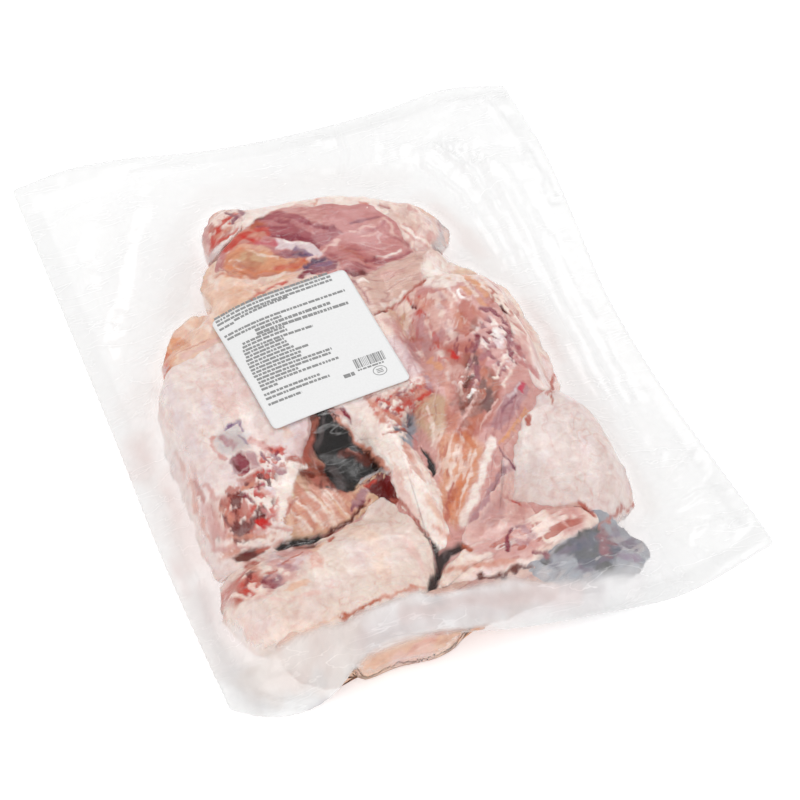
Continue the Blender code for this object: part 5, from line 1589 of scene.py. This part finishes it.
def flesh_material(name, fibre_scale, fibre_bump, roughness, subsurface):
    """Damp raw meat: painted colour, fine blotches and strands, and a soft wet gloss."""
    shader = Shader(name)
    paint = shader.add("ShaderNodeAttribute", {"attribute_name": "paint"})
    blotch = shader.noise(shader.mapped((1.0, 1.0, 1.0)), 170.0, 5.0, 0.6, 0.4)
    strand = shader.noise(shader.mapped(fibre_scale, 60.0), 1.0, 5.0, 0.6, 0.8)
    blotch_tones = [(0.3, (0.93, 0.84, 0.83)), (0.5, (1.0, 1.0, 1.0)), (0.7, (1.08, 1.09, 1.1))]
    light = shader.ramp(blotch, blotch_tones)
    lined = shader.ramp(strand, [(0.35, (0.95, 0.88, 0.87)), (0.65, (1.06, 1.06, 1.06))])
    blotched = shader.blend(paint.outputs["Color"], light, mode="MULTIPLY")
    shade = shader.blend(blotched, lined, mode="MULTIPLY")
    bump = shader.add("ShaderNodeBump", Strength=fibre_bump, Distance=0.0012)
    shader.feed(bump, "Height", shader.math("ADD", strand, blotch))
    surface = shader.add("ShaderNodeBsdfPrincipled", Roughness=roughness, IOR=1.4)
    surface.inputs["Specular IOR Level"].default_value = 0.15
    surface.inputs["Subsurface Weight"].default_value = subsurface
    surface.inputs["Subsurface Radius"].default_value = (1.0, 0.35, 0.2)
    surface.inputs["Subsurface Scale"].default_value = 0.004
    shader.feed(surface, "Base Color", shade)
    shader.feed(surface, "Normal", bump.outputs[0])
    shader.feed(shader.output, "Surface", surface.outputs[0])
    return shader.material


def film_material():
    """Clear plastic: see-through with a thin white haze where it stands off the meat, thin white lines
    painted into the haze as glints, and a gloss.
    """
    shader = Shader("film")
    haze = shader.add("ShaderNodeAttribute", {"attribute_name": "haze"})
    crinkle = shader.noise(shader.mapped((60.0, 60.0, 60.0)), 1.0, 5.0, 0.6, 1.2)
    bump = shader.add("ShaderNodeBump", Strength=0.2, Distance=0.002)
    shader.feed(bump, "Height", crinkle)
    clear = shader.add("ShaderNodeBsdfTransparent", Color=(0.985, 0.985, 0.985, 1.0))
    tint = shader.add("ShaderNodeAttribute", {"attribute_name": "tint"})
    white = shader.add("ShaderNodeBsdfDiffuse", Color=tint.outputs["Color"])
    through = shader.add("ShaderNodeBsdfTranslucent", Color=tint.outputs["Color"])
    milk = shader.layer(0.1, white.outputs[0], through.outputs[0])
    # Thin white lines, only where coarse noise allows, added to the haze: painted glints along the film's
    # crinkles.
    fine = shader.noise(shader.mapped((20.0, 90.0, 60.0), 12.0), 1.0, 3.0, 0.5, 0.4)
    coarse = shader.noise(shader.mapped((24.0, 24.0, 24.0)), 1.0, 3.0)
    line = shader.math("ABSOLUTE", shader.math("SUBTRACT", fine, 0.5))
    thin = shader.ramp(line, [(0.0, (0.2, 0.2, 0.2)), (0.016, (0.0, 0.0, 0.0))])
    where = shader.ramp(coarse, [(0.42, (0.0, 0.0, 0.0)), (0.62, (1.0, 1.0, 1.0))])
    crinkle_glints = shader.math("MULTIPLY", thin, where)
    haze_and_glints = shader.math("ADD", haze.outputs["Fac"], crinkle_glints)
    body = shader.layer(haze_and_glints, clear.outputs[0], milk)
    gloss = shader.add("ShaderNodeBsdfGlossy", Color=(1.0, 1.0, 1.0, 1.0), Roughness=0.16)
    shader.feed(gloss, "Normal", bump.outputs[0])
    weight = shader.add("ShaderNodeLayerWeight", Blend=0.5)
    shader.feed(weight, "Normal", bump.outputs[0])
    side = shader.add("ShaderNodeNewGeometry")
    glancing = shader.math("POWER", weight.outputs["Facing"], 5.0)
    share = shader.math("ADD", shader.math("MULTIPLY", glancing, 0.3), 0.025)
    outer = shader.math("SUBTRACT", 1.0, side.outputs["Backfacing"])
    surface = shader.layer(shader.math("MULTIPLY", share, outer), body, gloss.outputs[0])
    shader.feed(shader.output, "Surface", surface)
    return shader.material


# Label.

def label_place(u, v):
    """From the label's own plan to the bag's: u runs along its width and v along its height."""
    x, y = turned(np.asarray(u, float), np.asarray(v, float), -LABEL_TURN)
    return x + LABEL_PLACE[0], y + LABEL_PLACE[1]


def label_height(tree, x, y):
    """Height of the label's underside over each point."""
    return film_heights(tree, np.asarray(x, float), np.asarray(y, float))[0] + LABEL_GAP


def paper_material(name, shade, roughness):
    """A matt even tone with fine grain, for the paper and for the ink on it."""
    shader = Shader(name)
    grain = shader.noise(shader.mapped((900.0, 900.0, 900.0)), 1.0, 3.0)
    tone = shader.ramp(grain, [(0.3, [0.97 * shade] * 3), (0.7, [1.02 * shade] * 3)])
    bump = shader.add("ShaderNodeBump", Strength=0.1, Distance=0.0002)
    shader.feed(bump, "Height", grain)
    surface = shader.add("ShaderNodeBsdfPrincipled", Roughness=roughness)
    shader.feed(surface, "Base Color", tone)
    shader.feed(surface, "Normal", bump.outputs[0])
    shader.feed(shader.output, "Surface", surface.outputs[0])
    return shader.material


def make_label(tree):
    """A paper sheet with rounded corners, laid on the film."""
    half_u, half_v = LABEL_SIZE[0] / 2, LABEL_SIZE[1] / 2
    columns, rows = int(LABEL_SIZE[0] / LABEL_STEP), int(LABEL_SIZE[1] / LABEL_STEP)
    u, v = np.meshgrid(np.linspace(-half_u, half_u, columns + 1), np.linspace(-half_v, half_v, rows + 1))
    over_u = np.abs(u) - (half_u - LABEL_CORNER)
    over_v = np.abs(v) - (half_v - LABEL_CORNER)
    reach = np.maximum(np.hypot(over_u, over_v), 1e-9)
    pull = np.where((over_u > 0) & (over_v > 0), np.minimum(1.0, LABEL_CORNER / reach), 1.0)
    u = np.sign(u) * np.where(pull < 1.0, half_u - LABEL_CORNER + over_u * pull, np.abs(u))
    v = np.sign(v) * np.where(pull < 1.0, half_v - LABEL_CORNER + over_v * pull, np.abs(v))
    x, y = label_place(u.ravel(), v.ravel())
    under = label_height(tree, x, y)
    points = np.vstack([
        np.column_stack([x, y, under + LABEL_THICKNESS]), np.column_stack([x, y, under]),
    ])
    count, wide = len(x), columns + 1
    faces = []
    for row in range(rows):
        for column in range(columns):
            a = row * wide + column
            faces.append((a, a + 1, a + wide + 1, a + wide))
            faces.append((count + a, count + a + wide, count + a + wide + 1, count + a + 1))
    rim = list(range(wide)) + [row * wide + columns for row in range(1, rows + 1)]
    rim += [rows * wide + column for column in range(columns - 1, -1, -1)]
    rim += [row * wide for row in range(rows - 1, 0, -1)]
    for a, b in zip(rim, rim[1:] + rim[:1]):
        faces.append((a, count + a, count + b, b))
    label = new_object("label_paper", points, faces)
    label.data.materials.append(paper_material("paper", PAPER_TONE, 0.55))
    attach(label, "root")
    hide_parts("label")


def make_print(tree):
    """Plain dashes, bars and a ring, as thin slabs on the paper."""
    random = np.random.default_rng(5)
    slabs = []
    for (ax, ay), (bx, by), half in PRINT_ROWS:
        length = math.hypot(bx - ax, by - ay)
        along = 0.0
        while along < length:
            word = min(random.uniform(*WORD_LENGTHS), length - along)
            slabs.append(slab_corners(ax, ay, bx, by, along / length, (along + word) / length, half))
            along += word + random.uniform(*WORD_GAPS)
    (ax, ay), (bx, by), tall = CODE_BARS
    length = math.hypot(bx - ax, by - ay)
    along = 0.0
    while along < length:
        bar = random.choice(BAR_WIDTHS)
        start, end = along / length, (along + bar) / length
        low = slab_corners(ax, ay, bx, by, start, end, 0.0)
        slabs.append([low[0], low[1], (low[1][0], low[1][1] + tall), (low[0][0], low[0][1] + tall)])
        along += bar + random.choice(BAR_GAPS)
    (cx, cy), (rx, ry), wide = STAMP
    turns = np.linspace(0.0, 2.0 * math.pi, STAMP_SIDES + 1)
    for first, second in zip(turns, turns[1:]):
        inner = [(cx + rx * math.cos(a), cy + ry * math.sin(a)) for a in (first, second)]
        outer = [
            (cx + (rx + wide) * math.cos(a), cy + (ry + wide) * math.sin(a)) for a in (first, second)
        ]
        slabs.append([inner[0], outer[0], outer[1], inner[1]])
    for rise in STAMP_LINES:
        slabs.append([
            (cx - 2.4, cy + rise - 0.35), (cx + 2.4, cy + rise - 0.25),
            (cx + 2.4, cy + rise + 0.35), (cx - 2.4, cy + rise + 0.25),
        ])

    plan = np.array(slabs).reshape(-1, 2)
    paper = label_height(tree, plan[:, 0], plan[:, 1]) + LABEL_THICKNESS + PRINT_GAP
    points, faces = [], []
    for index in range(len(slabs)):
        corners = plan[4 * index:4 * index + 4]
        heights = paper[4 * index:4 * index + 4]
        first = len(points)
        points += [(x, y, z) for (x, y), z in zip(corners, heights)]
        points += [(x, y, z + PRINT_THICKNESS) for (x, y), z in zip(corners, heights)]
        faces.append((first + 3, first + 2, first + 1, first))
        faces.append((first + 4, first + 5, first + 6, first + 7))
        for a, b in ((0, 1), (1, 2), (2, 3), (3, 0)):
            faces.append((first + a, first + b, first + b + 4, first + a + 4))
    ink = new_object("label_print", points, faces)
    ink.data.materials.append(paper_material("ink", INK_TONE, 0.6))
    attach(ink, "root")


def slab_corners(ax, ay, bx, by, start, end, half):
    """Four corners of a dash between two shares of a line."""
    length = math.hypot(bx - ax, by - ay)
    side = (-(by - ay) / length * half, (bx - ax) / length * half)
    first = (ax + (bx - ax) * start, ay + (by - ay) * start)
    last = (ax + (bx - ax) * end, ay + (by - ay) * end)
    return [
        (first[0] - side[0], first[1] - side[1]), (last[0] - side[0], last[1] - side[1]),
        (last[0] + side[0], last[1] + side[1]), (first[0] + side[0], first[1] + side[1]),
    ]


def film_haze(film, pieces):
    """Haze at each point of the film: where it stands off the pieces, beside them, and in zones."""
    points, faces, first = [], [], 0
    for piece in pieces:
        points += [vert.co.copy() for vert in piece.data.vertices]
        faces += [tuple(i + first for i in face.vertices) for face in piece.data.polygons]
        first = len(points)
    tree = BVHTree.FromPolygons(points, faces)
    distance = np.array([tree.find_nearest(vert.co)[3] for vert in film.data.vertices]) / MM
    haze = FREE_HAZE * smooth_step((distance - HAZE_START) / HAZE_RISE)
    down = Vector((0.0, 0.0, -1.0))
    bare = np.array([tree.ray_cast(vert.co, down)[0] is None for vert in film.data.vertices])
    x, y, z = vertex_array(film.data).T
    normals = np.array([vert.normal for vert in film.data.vertices])
    upper = smooth_step((normals[:, 2] + 0.1) / 0.3)
    haze = np.maximum(haze, BARE_HAZE * bare * upper)
    streaks = layered_noise(*turned(x, y, STREAK_TURN), STREAK_SIZE, 3)
    for level, softness, outline in HAZE_ZONES:
        weight = smooth_step(area_depth(x, y, outline) / softness + 0.5) * upper
        haze = np.maximum(haze, level * weight * (0.8 + 0.4 * streaks))
    return np.clip(haze, 0.0, HAZE_LIMIT)


def film_tints(film):
    """Colour of the haze at each point of the film: white, with pink juice near the meat and a painted fold
    shadow at the front left corner.
    """
    places = vertex_array(film.data)
    x, y, z = places.T
    normals = np.array([vert.normal for vert in film.data.vertices])
    inward = rim_distance(places, normals)
    seam = smooth_step((SEAM_WIDTH - inward) / 2.5)
    colours = np.ones((len(x), 3)) * HAZE_TONE * (1.0 - (1.0 - SEAM_TONE) * seam)[:, None]
    for index, (name, half_width, softness, strength, path) in enumerate(FILM_TINTS):
        broken = layered_noise(x + 31.0 * index, y, TINT_BREAK_SIZE, 3)
        distance = path_distance(x, y, path)
        weight = smooth_step((half_width * (0.4 + 1.2 * broken) - distance) / softness + 0.5)
        weight *= strength * TINT_SHARE
        colours += (linear_colour(name) * HAZE_TONE - colours) * weight[:, None]
    return colours


def main():
    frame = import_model()
    make_camera()
    make_stage()

    film = make_film(frame["nodes"]["bag"])
    tree = surface_tree(film)
    materials = {slot: flesh_material(slot, *values) for slot, values in FLESH.items()}
    pieces = [
        make_piece(name, spec, tree, materials[spec["slot"]]) for name, spec in PIECES.items()
    ]
    make_label(tree)
    make_print(tree)
    set_values(film, "haze", film_haze(film, pieces))
    set_colours(film, "tint", film_tints(film))
    film.data.materials.append(film_material())
    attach(film, "root")
    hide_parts("bag")


main()
